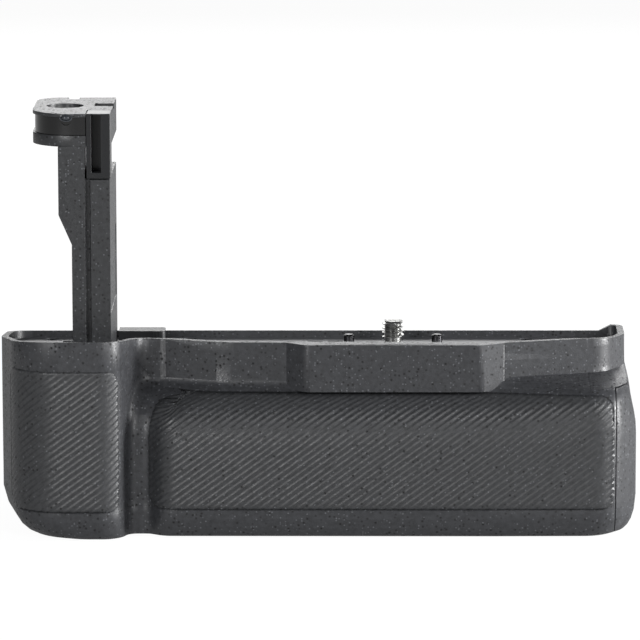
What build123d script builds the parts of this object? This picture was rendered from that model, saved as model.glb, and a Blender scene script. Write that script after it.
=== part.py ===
from build123d import *
import math
import os

# Battery grip for a compact cinema camera, in millimetres.
# X runs along the grip, -Y is the front, +Z is up, and the origin lies under the middle at the bottom.

# Overall size
half_length = 91.1
grip_front = 31.4
belly_front = 27.0
rear_face = 28.8
overrun = 30.0
fit_gap = 0.15
slide_gap = 0.3
small_round = 0.4
half = 0.5

# Heights
base_thickness = 1.4
bay_ceiling = 41.3
belly_shoulder = 27.5
band_foot = 44.0
flare_top = 51.0
bulkhead_top = 46.1
deck_floor = 47.9
rim_top = 60.0

# Plan of the housing: corners of the upper band and of the lower belly, left end first.
# Places along X are shares of half_length.
grip_side_y = 1.0
grip_nose_share = 0.925
grip_inner_share = 0.621
valley_left_share = 0.566
valley_right_share = 0.49
band_valley_y = 8.5
belly_valley_y = 20.6
belly_valley_left_share = 0.593
belly_valley_right_share = 0.529
band_left_share = 0.296
band_left_y = 14.6
belly_left_share = 0.483
band_right_share = 0.527
band_right_y = 16.4
belly_crown = 0.4
band_end_inset = 9.6
band_end_y = 6.3
belly_end_inset = 7.1
end_inset = 1.2
band_corner_inset = 3.6
band_corner_y = 6.0
belly_corner_y = 15.5
band_rear_inset = 2.7

# Corner radii of the plan
rear_left_round = 7.0
side_round = 30.0
nose_round = 14.0
grip_inner_round = 6.8
valley_round = 3.4
band_valley_round = 5.0
belly_left_round = 7.0
band_left_round = 16.0
mid_round = 12.0
belly_end_round = 9.0
corner_round = 14.0
rear_right_round = 4.0

# How far each side tucks in towards the bottom, and how high the tuck reaches
tuck_height = 10.0
left_tuck = 12.0
right_tuck = 4.2
front_tuck = 3.4
rear_tuck = 0.9
tuck_level_shares = (0.0, 0.05, 0.14, 0.3, 0.55, 1.0)

# Share of the belly that is left at each level of the shoulder: in the middle, at the corner of the right
# end, and on the right side, which flares up to the band's flare_top
shoulder_level_shares = (0.0, 0.21, 0.39, 0.545, 0.667, 0.77, 0.855, 0.93, 1.0)
middle_belly_shares = (1.0, 0.965, 0.87, 0.71, 0.49, 0.22, 0.04, 0.0, 0.0)
end_belly_shares = (1.0, 1.0, 0.99, 0.97, 0.94, 0.88, 0.77, 0.5, 0.0)
side_belly_shares = (0.96, 0.88, 0.67, 0.43, 0.26, 0.17, 0.12, 0.09, 0.06)
flare_level_shares = (0.36, 0.7, 1.0)
side_flare_shares = (0.03, 0.01, 0.0)

# Sunken panel of the ribbed grip area: front view, left end first, and the steps up to its top
panel_sink = 0.3
panel_left_inset = 3.7
panel_right_inset = 8.5
panel_foot = 8.0
panel_top = 40.4
panel_grip_top = 48.6
panel_grip_share = 0.58
panel_valley_share = 0.5
panel_round = 4.0
panel_reach = 5.0

# Forward step of the band under the lens
step_left_x = 4.0
step_right_x = 45.6
step_front = 19.8
step_left_flank = 6.0
step_right_flank = 6.5
step_foot = 40.6
step_round = 3.0
step_edge = 0.5

# Rim: heights at the rear, over the valley line and at the front, for the grip, the middle and the right end
rim_line_y = 8.0
rim_reach = 40.0
grip_rim_heights = (48.3, 54.1, 58.0)
middle_rim_heights = (48.4, 53.9, 54.3)
end_rim_heights = (50.9, 53.4, 53.9)
grip_rim_share = 0.587
valley_rim_share = 0.499
ear_start_x = half_length - band_end_inset
ear_length = 3.5
rim_wall = 1.9
wall = 2.2

# Right end of the housing above the bay, a frame of its own
end_frame_length = 15.1
end_frame_x = half_length - end_frame_length

# Video battery packs
pack_count = 2
pack_length = 70.8
pack_width = 38.4
pack_thickness = 20.6
pack_round = 1.6
pack_slot_width = 1.6
pack_slot_height = 7.0
pack_slot_depth = 4.5
pack_slot_spread = 11.0
rail_groove_depth = 0.8
rail_groove_height = 2.2
rail_groove_z = 9.0
rail_groove_length = 22.0

# Battery tray and the inner end of the packs in it
tray_floor_z = 1.7
tray_floor = 0.8
tray_wall = 1.2
cap_depth = 7.7
cap_inner_x = half_length - cap_depth
pack_inner_x = cap_inner_x - tray_wall - pack_length
tray_stop_height = 13.0
tray_stop_window = 14.0
tray_front = 14.3
tray_rear = 26.9
tray_travel = 74.0
tray_lip_height = 30.0
tray_window_length = 42.0
tray_window_width = 9.0

# Battery bay, contact block and front chamber
block_thickness = 4.6
block_low = 8.0
block_high = 36.0
block_clearance = 0.6
bay_inner_x = pack_inner_x - tray_wall - block_clearance - block_thickness
bay_front = 14.6
bay_rear = 27.2
bay_wall = 2.0
chamber_front = 24.0
chamber_rear = 16.4
chamber_inset = 3.0
chamber_end = 4.4
chamber_top = 32.5
floor_margin = 8.0
cavity_rear = 26.4
bulkhead = 1.6

# End cap of the tray
cap_top = 41.5
cap_gap = 0.25
cap_wall = 2.2
cap_pocket_depth = 3.4
cap_pocket_front = 12.0
cap_pocket_rear = 24.0
cap_pocket_low = 6.0
cap_pocket_high = 38.4
tongue_reach = 3.0
cap_screw_spacing = 20.0
cap_head_radius = 1.4

# Latch of the tray
latch_y = 16.0
latch_z = 24.0
latch_travel = 3.0
knob_width = 16.0
knob_height = 7.0
knob_ribs = 4
knob_rib_width = 0.8
knob_rib_depth = 0.5
track_depth = 1.6
track_margin = 0.5
neck_width = 6.0
neck_height = 3.0
bolt_thickness = 1.6
bolt_width = 7.0
bolt_top = 41.0
keeper_length = 6.0
keeper_width = 17.0
bolt_bottom = 17.0
latch_screw_radius = 1.0
latch_head_radius = 1.9
latch_head_height = 0.7

# Camera screw, its thumb wheel and its bush
screw_x = 21.1
screw_y = 14.0
screw_radius = 3.175
screw_top = 55.3
thread_bottom = 50.4
neck_radius = 2.35
shank_radius = 2.6
screw_chamfer = 0.6
slot_width = 1.2
slot_depth = 1.2
hex_across = 8.0
wheel_radius = 17.4
wheel_bottom = 42.95
wheel_thickness = 2.85
wheel_teeth = 60
tooth_depth = 0.45
wheel_recess = 0.8
wheel_hub_radius = 6.5
wheel_web_radius = 14.0
wheel_pocket_gap = 0.4
wheel_pocket_floor = 42.7
running_gap = 0.05
bush_radius = 4.3
bush_flange_radius = 5.6
bush_flange = 0.6
bush_height = 0.35
clip_radius = 4.4
clip_thickness = 0.5
washer_radius = 5.6
washer_thickness = 0.2

# Locating pins beside the screw
pin_spacing = 25.4
pin_radius = 1.5
pin_foot_radius = 1.7
pin_height = 3.3
pin_seat = 1.2
pin_chamfer = 0.35

# Top deck
deck_mark_length = 4.4
deck_mark_width = 1.4
deck_mark_depth = 0.3
deck_mark_x = 3.6
deck_mark_y = 20.0
ledge_gap = 0.7
ledge_length = 13.3
ledge_front = 15.0
ledge_rear = 21.5
ledge_height = 4.0
ledge_round = 1.0
ledge_ribs = 3
ledge_rib_pitch = 0.9
ledge_rib_width = 0.35
ledge_rib_depth = 0.25
slot_left = 5.0
slot_sink = 1.2
deck_screw_radius = 1.0
deck_head_radius = 1.9
deck_head_height = 0.9
deck_screw_place_shares = (
    (-0.856, 0.84),
    (-0.417, 0.84),
    (-0.22, -0.312),
    (0.659, 0.833),
    (0.768, -0.052),
    (0.549, -0.312),
)

# Stem that fills the battery bay of the camera
stem_setback = 21.4
stem_width = 10.8
stem_left = half_length - stem_setback
stem_right = stem_left - stem_width
stem_front = 17.0
stem_rear = 21.0
stem_flare = 3.65
stem_upper_left = stem_left + stem_flare
groove_inset = 3.8
groove_width = 1.5
groove_left = stem_left - groove_inset
groove_right = groove_left - groove_width
groove_depth = 1.6
stem_wall = 1.5
cover_inset = 0.25
stem_foot_z = 38.0
flange_top = 44.3
flange_thickness = 2.2
flange_margin = 4.2
flange_right_margin = 1.2
flange_screw_front = 9.0
flange_screw_rear = 13.0
flange_screw_inset = 1.6
stem_panel_sink = 0.3
stem_panel_margin = 2.0
stem_panel_level_shares = (0.27, 0.67)

# Head of the stem
head_top = 119.2
head_height = 9.3
head_bottom = head_top - head_height
head_overhang = 0.2
head_right = stem_right - head_overhang
head_length = 22.3
head_left = head_right + head_length
head_round = 7.0
head_nose_round = 12.0
band_recess_border = 1.0
band_recess_width = 5.2
band_recess_high = head_top - band_recess_border
band_recess_low = band_recess_high - band_recess_width
band_recess_depth = 1.5
window_depth = 0.9
hook_hole_inset = 8.7
hook_hole_x = head_left - hook_hole_inset
hook_hole_y = 2.0
hook_hole_radius = 5.25
hook_hole_depth = 7.0
notch_width = 3.2
notch_left = hook_hole_x
notch_right = notch_left - notch_width
notch_depth = 4.0
notch_drop = 1.0
cap_block_width = 6.8
cap_block_left = head_right + cap_block_width
cap_block_height = 18.3
cap_block_bottom = head_top - cap_block_height
cap_block_depth = 9.0
cap_slot_margin = 1.5
cap_slot_width = 2.7
cap_slot_left = cap_block_left - cap_slot_margin
cap_slot_right = cap_slot_left - cap_slot_width
cap_slot_sill = 1.8
cap_slot_depth = 5.0
cover_gap = 0.3
cover_top = cap_block_bottom - cover_gap
contact_channel_front = 1.0
contact_channel_rear = 7.0
contact_channel_depth = 1.4
lens_inset = 1.3
lens_x = hook_hole_x - lens_inset
lens_radius = 1.4
lens_depth = 0.8
lens_z = band_recess_high - lens_depth

# Taper of the stem's left side below the head
taper_drop = 19.3
taper_height = 8.4
stem_taper_high = head_bottom - taper_drop
stem_taper_low = stem_taper_high - taper_height

# Contacts and flexible circuit of the stem
stem_contact_width = 0.9
stem_contact_height = 8.0
stem_contact_pitch = 1.6
stem_contact_count = 3
stem_contact_margin = 1.05
stem_contact_inset = 1.5
flex_thickness = 0.3
flex_width = 12.0
flex_top_gap = 1.9

# Contact blades of the bay
blade_thickness = 0.8
blade_width = 5.0
blade_reach = 3.0

# Circuit board
board_left_inset = 37.1
board_right_inset = 4.5
board_left = half_length - board_left_inset
board_right = board_right_inset + bay_wall - bay_inner_x
board_front = 11.5
board_rear = 20.0
board_z = 12.5
board_thickness = 1.6
board_corner = 2.0
board_screw_inset = 3.0
board_screw_radius = 1.0
board_head_radius = 1.9
board_head_height = 0.9
post_radius = 2.6
coil_size = 11.0
coil_pitch = 13.0
coil_height = 7.0
can_count = 3
can_pitch = 10.0
can_radius = 4.0
can_height = 11.0
chip_size = 7.0
chip_height = 1.2
chip_pitch = 9.0
plug_size = 6.0
plug_height = 5.5
flex_socket_length = 14.0
flex_socket_width = 4.0
flex_socket_height = 2.0

# Leads
lead_radius = 0.9
lead_bend = 5.5
flex_bend = 6.0

# Base plate, its screws and the tripod socket
base_margin = 2.0
base_screw_radius = 1.0
base_head_radius = 2.0
base_head_height = 0.8
base_boss_radius = 3.0
base_boss_height = 8.0
base_screw_place_shares = (
    (-0.79, 0.7),
    (-0.746, -0.76),
    (-0.33, 0.7),
    (-0.33, -0.59),
    (0.768, -0.646),
    (0.33, -0.646),
)
socket_inset = 17.0
socket_x = bay_inner_x - socket_inset
socket_y = 2.0
socket_radius = 4.9
socket_flange_radius = 6.2
socket_flange = 1.0
socket_depth = 8.0
socket_boss_radius = 8.0
socket_boss_height = 9.2
socket_thread_radius = 2.65


def block(x_range, y_range, z_range):
    """A rectangular solid between the given limits."""
    (x0, x1), (y0, y1), (z0, z1) = x_range, y_range, z_range
    size = Box(x1 - x0, y1 - y0, z1 - z0)
    return Pos((x0 + x1) * half, (y0 + y1) * half, (z0 + z1) * half) * size


def post(x, y, z0, z1, radius):
    """An upright cylinder between two heights."""
    return Pos(x, y, (z0 + z1) * half) * Cylinder(radius, z1 - z0)


def blend(a, b, share):
    """The value that lies the given share of the way from a to b."""
    return a + (b - a) * share


def places(place_shares):
    """Places in the plan from shares of half_length and rear_face."""
    return [(x * half_length, y * rear_face) for x, y in place_shares]


def plan_corners(middle, end, side, tuck):
    """Corners of the plan: middle, end and side are the belly's shares, tuck is the inset share at the bottom."""
    left = -half_length + left_tuck * tuck
    right = half_length - end_inset - right_tuck * tuck
    front = front_tuck * tuck
    rear = rear_face - rear_tuck * tuck
    nose_x = -half_length * grip_nose_share + left_tuck * tuck * half
    nose_y = -grip_front + front
    belly_y = -belly_front + front
    valley_y = blend(-band_valley_y, -belly_valley_y, middle)
    valley_left = blend(valley_left_share, belly_valley_left_share, middle)
    valley_right = blend(valley_right_share, belly_valley_right_share, middle)
    front_left = blend(band_left_share, belly_left_share, middle)
    end_x = blend(half_length - band_end_inset, right - belly_end_inset, end)
    return [
        (left, rear),
        (left, -grip_side_y),
        (nose_x, nose_y),
        (-half_length * grip_inner_share, nose_y),
        (-half_length * valley_left, valley_y),
        (-half_length * valley_right, valley_y),
        (-half_length * front_left, blend(-band_left_y, belly_y, middle)),
        (half_length * band_right_share, blend(-band_right_y, belly_y - belly_crown, middle)),
        (end_x, blend(-band_end_y, belly_y, end)),
        (blend(half_length - band_corner_inset, right, side), blend(band_corner_y, -belly_corner_y, end)),
        (blend(half_length - band_rear_inset, right, side), rear),
    ]


def plan_radii(middle, end):
    return [
        rear_left_round,
        side_round,
        nose_round,
        grip_inner_round,
        blend(band_valley_round, valley_round, middle),
        blend(band_valley_round, valley_round, middle),
        blend(band_left_round, belly_left_round, middle),
        mid_round,
        belly_end_round,
        corner_round,
        rear_right_round,
    ]


def plan_wire(z, middle, end, side, tuck):
    corners = [(x, y, z) for x, y in plan_corners(middle, end, side, tuck)]
    return FilletPolyline(*corners, radius=plan_radii(middle, end), close=True)


def plan_face(belly, tuck, inset):
    """Plan of the belly, where belly is 1, or of the band, where it is 0, drawn in by inset."""
    face = make_face(plan_wire(0, belly, belly, belly, tuck))
    return offset(face, -inset) if inset else face


def prism(face, z0, z1):
    return Pos(0, 0, z0) * extrude(face, z1 - z0)


def tuck_levels():
    """Heights and inset shares of the rounding along the bottom."""
    levels = []
    for share in tuck_level_shares:
        inset = 1 - math.sqrt(1 - (1 - share) ** 2)
        levels.append((tuck_height * share, inset))
    return levels


def housing_form():
    """The outer form: a belly with a tucked bottom, a rounded shoulder and the upright band above it."""
    sections = [make_face(plan_wire(z, 1, 1, 1, tuck)) for z, tuck in tuck_levels()]
    belly_shares = zip(shoulder_level_shares, middle_belly_shares, end_belly_shares, side_belly_shares)
    for share, middle, end, side in belly_shares:
        z = blend(belly_shoulder, band_foot, share)
        sections.append(make_face(plan_wire(z, middle, end, side, 0)))
    for share, side in zip(flare_level_shares, side_flare_shares):
        sections.append(make_face(plan_wire(blend(band_foot, flare_top, share), 0, 0, side, 0)))
    belly = loft(sections, ruled=True)
    band = prism(plan_face(0, 0, 0), flare_top, rim_top)
    form = belly + band
    sunk = grip_panel() - Pos(0, panel_sink, 0) * form
    return form - sunk + lens_step()


def grip_panel():
    """The space in front of the ribbed area, from the hand grip over the valley to the right end."""
    left = -half_length + panel_left_inset
    right = half_length - panel_right_inset
    outline = [
        (left, panel_foot),
        (right, panel_foot),
        (right, panel_top),
        (-half_length * panel_valley_share, panel_top),
        (-half_length * panel_grip_share, panel_grip_top),
        (left, panel_grip_top),
    ]
    corners = [(x, -grip_front - panel_reach, z) for x, z in outline]
    face = make_face(FilletPolyline(*corners, radius=panel_round, close=True))
    return extrude(face, amount=grip_front + panel_reach - rim_line_y, dir=(0, 1, 0))


def lens_step():
    """The forward step of the band below the camera's lens."""
    outline = [
        (-step_left_x - step_left_flank, -band_valley_y),
        (-step_left_x - step_left_flank, -band_left_y),
        (-step_left_x, -step_front),
        (step_right_x, -step_front),
        (step_right_x + step_right_flank, -band_right_y + step_edge),
        (step_right_x + step_right_flank, -band_valley_y),
    ]
    radii = (small_round, step_edge, step_round, step_round, step_edge, small_round)
    face = make_face(FilletPolyline(*outline, radius=radii, close=True))
    return prism(face, step_foot, rim_top)


def rim_cutter():
    """Everything above the rim, which is high at the grip and the end and low along the rear."""
    stations = [
        (-half_length - overrun, grip_rim_heights),
        (-half_length * grip_rim_share, grip_rim_heights),
        (-half_length * valley_rim_share, middle_rim_heights),
        (ear_start_x, middle_rim_heights),
        (ear_start_x + ear_length, end_rim_heights),
        (half_length + overrun, end_rim_heights),
    ]
    sections = []
    for x, (rear, line, front) in stations:
        points = [
            (x, rim_reach, rear),
            (x, -rim_line_y, line),
            (x, -rim_reach, front),
            (x, -rim_reach, rim_top + overrun),
            (x, rim_reach, rim_top + overrun),
        ]
        sections.append(make_face(Polyline(*points, close=True)))
    return loft(sections, ruled=True)


def seat_face(inset):
    """Plan of the camera seat inside the rim."""
    return plan_face(0, 0, inset)


def cap_region(gap):
    """The space of the tray's end cap, grown by gap towards the housing."""
    return block(
        (cap_inner_x - gap, half_length + overrun),
        (-rim_reach, rim_reach),
        (-overrun, cap_top + gap),
    )


def grip_cavity():
    """Hollow of the hand grip and the middle, in three steps that follow the outer form."""
    low = prism(plan_face(1, 0, floor_margin), 0, tuck_height)
    mid = prism(plan_face(1, 0, wall), tuck_height, belly_shoulder)
    high = prism(plan_face(0, 0, wall), belly_shoulder, bulkhead_top - bulkhead)
    room = block((-half_length, bay_inner_x - bay_wall), (-grip_front, cavity_rear), (base_thickness, bulkhead_top))
    return (low + mid + high) & room


def wheel_pocket():
    """Round room of the thumb wheel, open through the rear wall."""
    return post(screw_x, screw_y, wheel_pocket_floor, bulkhead_top, wheel_radius + wheel_pocket_gap)


def base_outline(inset):
    """Plan of the bottom cover, which stops at the end cap."""
    face = plan_face(1, 1, inset)
    keep = Rectangle(2 * (cap_inner_x - cap_gap - inset), 2 * rim_reach)
    return face & keep


def housing_body(form):
    """Housing and end frame in one, cut from the outer form: seat, bay, grip cavity, pockets and bosses."""
    shell = form - rim_cutter() - cap_region(cap_gap)
    seat = prism(seat_face(rim_wall), bulkhead_top, rim_top + overrun)
    bay = block((bay_inner_x, half_length + overrun), (-bay_front, bay_rear), (base_thickness, bay_ceiling))
    chamber = block(
        (bay_inner_x + chamber_inset, cap_inner_x - chamber_end),
        (-chamber_front, -chamber_rear),
        (base_thickness, chamber_top),
    )
    bottom = prism(base_outline(base_margin), -overrun, base_thickness)
    body = shell - seat - bay - chamber - grip_cavity() - bottom - wheel_pocket()
    body -= stem_opening(fit_gap, stem_foot_z, deck_floor)
    body -= block_window()
    body -= keeper_slot()
    for boss, hole in base_bosses():
        body = body + (boss & form) - hole
    for hole in deck_screw_holes() + stem_screw_holes():
        body -= hole
    return body - clip_recess()


def end_frame_region():
    """The space above the bay at the right end, from the seam to the outside."""
    return block(
        (end_frame_x, half_length + overrun),
        (-rim_reach, rim_reach),
        (bay_ceiling, rim_top + overrun),
    )


def main_housing(body):
    """Moulded housing of the hand grip, the middle and the battery bay."""
    return body - end_frame_region()


def end_frame(body):
    """Frame over the mouth of the bay, bonded to the housing, with the right end of the rim and the keeper."""
    return body & end_frame_region()


def keeper_slot():
    """Slot above the end cap that takes the raised latch bolt, behind the outer wall of the end frame."""
    _, x1 = bolt_x_range()
    right = x1 + slide_gap
    side = keeper_width * half
    return block((right - keeper_length, right), (latch_y - side, latch_y + side), (bay_ceiling, bulkhead_top))


def block_window():
    """Opening in the inner wall of the bay, behind the contact block."""
    margin = blade_width
    return block(
        (bay_inner_x - bay_wall - small_round, bay_inner_x),
        (-tray_front + margin, tray_rear - margin),
        (block_low + margin, block_high - margin),
    )


def base_plate():
    """Bottom cover with posts for the board, bosses for its screws and the boss of the tripod socket."""
    plate = prism(base_outline(base_margin + fit_gap), 0, base_thickness)
    for x, y in board_post_places():
        plate += post(x, y, base_thickness, board_z, post_radius)
        plate -= post(x, y, board_z - base_boss_height, board_z, board_screw_radius)
    plate += post(socket_x, socket_y, base_thickness, socket_boss_height, socket_boss_radius)
    plate -= post(socket_x, socket_y, 0, socket_depth, socket_radius)
    plate -= post(socket_x, socket_y, 0, socket_flange, socket_flange_radius)
    for x, y in places(base_screw_place_shares):
        plate -= post(x, y, 0, base_thickness, base_screw_radius + fit_gap)
        plate -= post(x, y, 0, base_head_height, base_head_radius + fit_gap)
    return plate


def base_screws():
    screws = []
    for x, y in places(base_screw_place_shares):
        screws.append(post(x, y, 0, base_head_height, base_head_radius)
                      + post(x, y, base_head_height, base_thickness + base_boss_height, base_screw_radius))
    return Compound(children=screws)


def base_bosses():
    """Bosses of the housing that take the screws of the base plate."""
    bosses = []
    for x, y in places(base_screw_place_shares):
        boss = post(x, y, base_thickness, base_thickness + base_boss_height + small_round, base_boss_radius)
        hole = post(x, y, base_thickness, base_thickness + base_boss_height, base_screw_radius)
        bosses.append((boss, hole))
    return bosses


def tripod_socket():
    sleeve = post(socket_x, socket_y, 0, socket_depth, socket_radius)
    sleeve += post(socket_x, socket_y, 0, socket_flange, socket_flange_radius)
    return sleeve - post(socket_x, socket_y, 0, socket_depth, socket_thread_radius)


def stem_opening(gap, z0, z1):
    """Column of space round the foot of the stem."""
    return block((-stem_left - gap, -stem_right + gap), (-stem_front - gap, stem_rear + gap), (z0, z1))


def top_deck():
    """Floor of the camera seat, with a sunken strip on the left and the seats of the bush, pins and ledge."""
    deck = prism(seat_face(rim_wall + fit_gap), bulkhead_top, deck_floor)
    deck -= ledge_opening()
    deck -= stem_opening(fit_gap, 0, rim_top)
    deck -= block(
        (-stem_left - slot_left, -stem_left),
        (-stem_front, stem_rear),
        (deck_floor - slot_sink, deck_floor),
    )
    deck -= post(screw_x, screw_y, 0, rim_top, bush_radius + fit_gap)
    deck -= post(screw_x, screw_y, 0, bulkhead_top + bush_flange, bush_flange_radius + fit_gap)
    for side in (-half, half):
        deck -= post(screw_x + side * pin_spacing, screw_y, deck_floor - pin_seat, rim_top, pin_foot_radius)
    for x, y in places(deck_screw_place_shares):
        deck -= post(x, y, bulkhead_top, deck_floor, deck_screw_radius + fit_gap)
        deck -= post(x, y, deck_floor - deck_head_height, deck_floor, deck_head_radius + fit_gap)
    for i in range(2):
        x = -deck_mark_x + i * (deck_mark_length + deck_mark_width)
        mark = block(
            (x, x + deck_mark_length),
            (deck_mark_y, deck_mark_y + deck_mark_width),
            (deck_floor - deck_mark_depth, deck_floor),
        )
        deck -= mark
    return deck


def ledge_x_range():
    left = -stem_right + ledge_gap
    return left, left + ledge_length


def ledge_opening():
    """Opening through the deck for the ledge, with room for the ribs on its front."""
    x0, x1 = ledge_x_range()
    return block(
        (x0 - running_gap, x1 + running_gap),
        (ledge_front - ledge_rib_depth - running_gap, ledge_rear + running_gap),
        (bulkhead_top, deck_floor),
    )


def deck_ledge():
    """Rear ledge beside the stem, bonded to the housing through the deck, with ribs on its front."""
    x0, x1 = ledge_x_range()
    ledge = block((x0, x1), (ledge_front, ledge_rear), (bulkhead_top, deck_floor + ledge_height))
    ledge = fillet(ledge.edges().filter_by(Axis.Z).sort_by(Axis.X)[-2:], ledge_round)
    for i in range(ledge_ribs):
        x = x1 - ledge_round - small_round - i * ledge_rib_pitch
        ledge += block(
            (x - ledge_rib_width, x),
            (ledge_front - ledge_rib_depth, ledge_front),
            (deck_floor, deck_floor + ledge_height),
        )
    return ledge


def deck_screws():
    screws = []
    for x, y in places(deck_screw_place_shares):
        head = post(x, y, deck_floor - deck_head_height, deck_floor - small_round * half, deck_head_radius)
        shank = post(x, y, bulkhead_top - bulkhead, deck_floor - deck_head_height, deck_screw_radius)
        screws.append(head + shank)
    return Compound(children=screws)


def deck_screw_holes():
    holes = []
    for x, y in places(deck_screw_place_shares):
        holes.append(post(x, y, bulkhead_top - bulkhead, bulkhead_top, deck_screw_radius))
    return holes


def stem_screw_holes():
    top = bulkhead_top - small_round
    return [post(x, y, flange_top, top, deck_screw_radius) for x, y in stem_screw_places()]


def locating_pins():
    """Two plain pins with a thicker foot pressed into the deck."""
    pins = []
    for side in (-half, half):
        x = screw_x + side * pin_spacing
        pin = post(x, screw_y, deck_floor - pin_seat, deck_floor + pin_height, pin_radius)
        pin = chamfer(pin.edges().sort_by(Axis.Z)[-1], pin_chamfer)
        pins.append(pin + post(x, screw_y, deck_floor - pin_seat, deck_floor, pin_foot_radius))
    return Compound(children=pins)


def screw_bush():
    """Flanged ring that guides the camera screw through the deck."""
    ring = post(screw_x, screw_y, bulkhead_top, deck_floor + bush_height, bush_radius)
    ring += post(screw_x, screw_y, bulkhead_top, bulkhead_top + bush_flange, bush_flange_radius)
    return ring - post(screw_x, screw_y, bulkhead_top, deck_floor + bush_height, shank_radius + running_gap)


def wheel_top():
    return wheel_bottom + wheel_thickness


def mount_screw():
    """Quarter-inch camera screw: slotted tip, plain neck, shank in the bush and hexagon in the wheel."""
    tip = post(screw_x, screw_y, thread_bottom, screw_top, screw_radius)
    tip = chamfer(tip.edges().sort_by(Axis.Z)[-1], screw_chamfer)
    tip = chamfer(tip.edges().sort_by(Axis.Z)[0], screw_chamfer)
    neck = post(screw_x, screw_y, deck_floor + bush_height, thread_bottom + screw_chamfer, neck_radius)
    shank = post(screw_x, screw_y, wheel_top(), deck_floor + bush_height, shank_radius)
    hexagon = RegularPolygon(hex_across * half, 6, major_radius=False)
    foot = Pos(screw_x, screw_y, wheel_bottom) * extrude(hexagon, wheel_thickness)
    slot = block(
        (screw_x - overrun, screw_x + overrun),
        (screw_y - slot_width * half, screw_y + slot_width * half),
        (screw_top - slot_depth, screw_top),
    )
    return tip + neck + shank + foot - slot


def thumb_wheel():
    """Toothed wheel that turns the camera screw; its rim stands out of a slot in the rear wall."""
    tooth_angle = 360 / wheel_teeth
    gap = Pos(wheel_radius, 0, 0) * Rectangle(2 * tooth_depth, 2 * tooth_depth)
    gaps = [Rot(0, 0, i * tooth_angle) * gap for i in range(wheel_teeth)]
    face = Circle(wheel_radius) - gaps
    wheel = extrude(face, wheel_thickness)
    recess = extrude(Circle(wheel_web_radius) - Circle(wheel_hub_radius), wheel_recess)
    wheel -= Pos(0, 0, wheel_thickness - wheel_recess) * recess
    wheel -= extrude(RegularPolygon(hex_across * half + fit_gap * half, 6, major_radius=False), wheel_thickness)
    return Pos(screw_x, screw_y, wheel_bottom) * wheel


def clip_recess():
    """Round recess below the wheel, for the clip at the screw's end."""
    z0 = wheel_bottom - clip_thickness - fit_gap
    return post(screw_x, screw_y, z0, wheel_pocket_floor, clip_radius + slide_gap)


def screw_clip():
    """Retaining ring under the wheel on the end of the screw's hexagon."""
    ring = Cylinder(clip_radius, clip_thickness) - Cylinder(clip_radius - wall, clip_thickness)
    z = wheel_bottom - clip_thickness * half
    return Pos(screw_x, screw_y, z) * ring


def wave_washer():
    """Thin washer between the wheel's hub and the bush."""
    z = wheel_top() + washer_thickness * half + running_gap
    ring = Cylinder(washer_radius, washer_thickness) - Cylinder(shank_radius + fit_gap, washer_thickness)
    return Pos(screw_x, screw_y, z) * ring


def pack_y_range(index):
    front = -tray_front + index * pack_thickness
    return front, front + pack_thickness


def video_pack(index):
    """One battery pack on edge, with terminal slots in its inner end and rail grooves in its top and bottom."""
    y0, y1 = pack_y_range(index)
    z0 = tray_floor_z + tray_floor
    pack = block((pack_inner_x, pack_inner_x + pack_length), (y0, y1), (z0, z0 + pack_width))
    pack = fillet(pack.edges().filter_by(Axis.X), pack_round)
    middle_y = (y0 + y1) * half
    for side in (-half, half):
        z = z0 + pack_width * half + side * pack_slot_spread
        pack -= block(
            (pack_inner_x, pack_inner_x + pack_slot_depth),
            (middle_y - pack_slot_width * half, middle_y + pack_slot_width * half),
            (z - pack_slot_height * half, z + pack_slot_height * half),
        )
    groove_y = y0 + rail_groove_z - rail_groove_height
    for z, depth in ((z0, rail_groove_depth), (z0 + pack_width, -rail_groove_depth)):
        pack -= block(
            (pack_inner_x, pack_inner_x + rail_groove_length),
            (groove_y, groove_y + rail_groove_height),
            (min(z, z + depth), max(z, z + depth)),
        )
    return pack


def battery_tray():
    """Sliding tray: floor with windows, a low stop at the inner end and an end wall that carries the cap."""
    x0 = pack_inner_x - tray_wall
    x1 = pack_inner_x + pack_length
    floor_top = tray_floor_z + tray_floor
    y_range = (-tray_front, tray_rear)
    tray = block((x0, x1 + tray_wall), y_range, (tray_floor_z, floor_top))
    tray += block((x0, pack_inner_x), y_range, (tray_floor_z, tray_stop_height))
    tray += block((x1, x1 + tray_wall), y_range, (tray_floor_z, floor_top + tray_lip_height))
    for index in range(pack_count):
        y0, y1 = pack_y_range(index)
        middle_y = (y0 + y1) * half
        middle_x = (x0 + x1) * half
        tray -= block(
            (middle_x - tray_window_length * half, middle_x + tray_window_length * half),
            (middle_y - tray_window_width * half, middle_y + tray_window_width * half),
            (tray_floor_z, floor_top),
        )
        tray -= block(
            (x0, pack_inner_x),
            (middle_y - tray_window_width * half, middle_y + tray_window_width * half),
            (floor_top + tray_floor, tray_stop_height),
        )
    tray += cap_tongue(0)
    for x, y in cap_screw_places():
        tray -= post(x, y, tray_floor_z, floor_top, latch_screw_radius + fit_gap)
    return tray


def bolt_x_range():
    x1 = cap_outer_wall_x() - running_gap
    return x1 - bolt_thickness, x1


def track_x():
    """Floor of the latch's track, measured from the end cap's surface, which end_inset sets back."""
    return half_length - end_inset - track_depth


def cap_outer_wall_x():
    return track_x() - cap_wall


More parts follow.
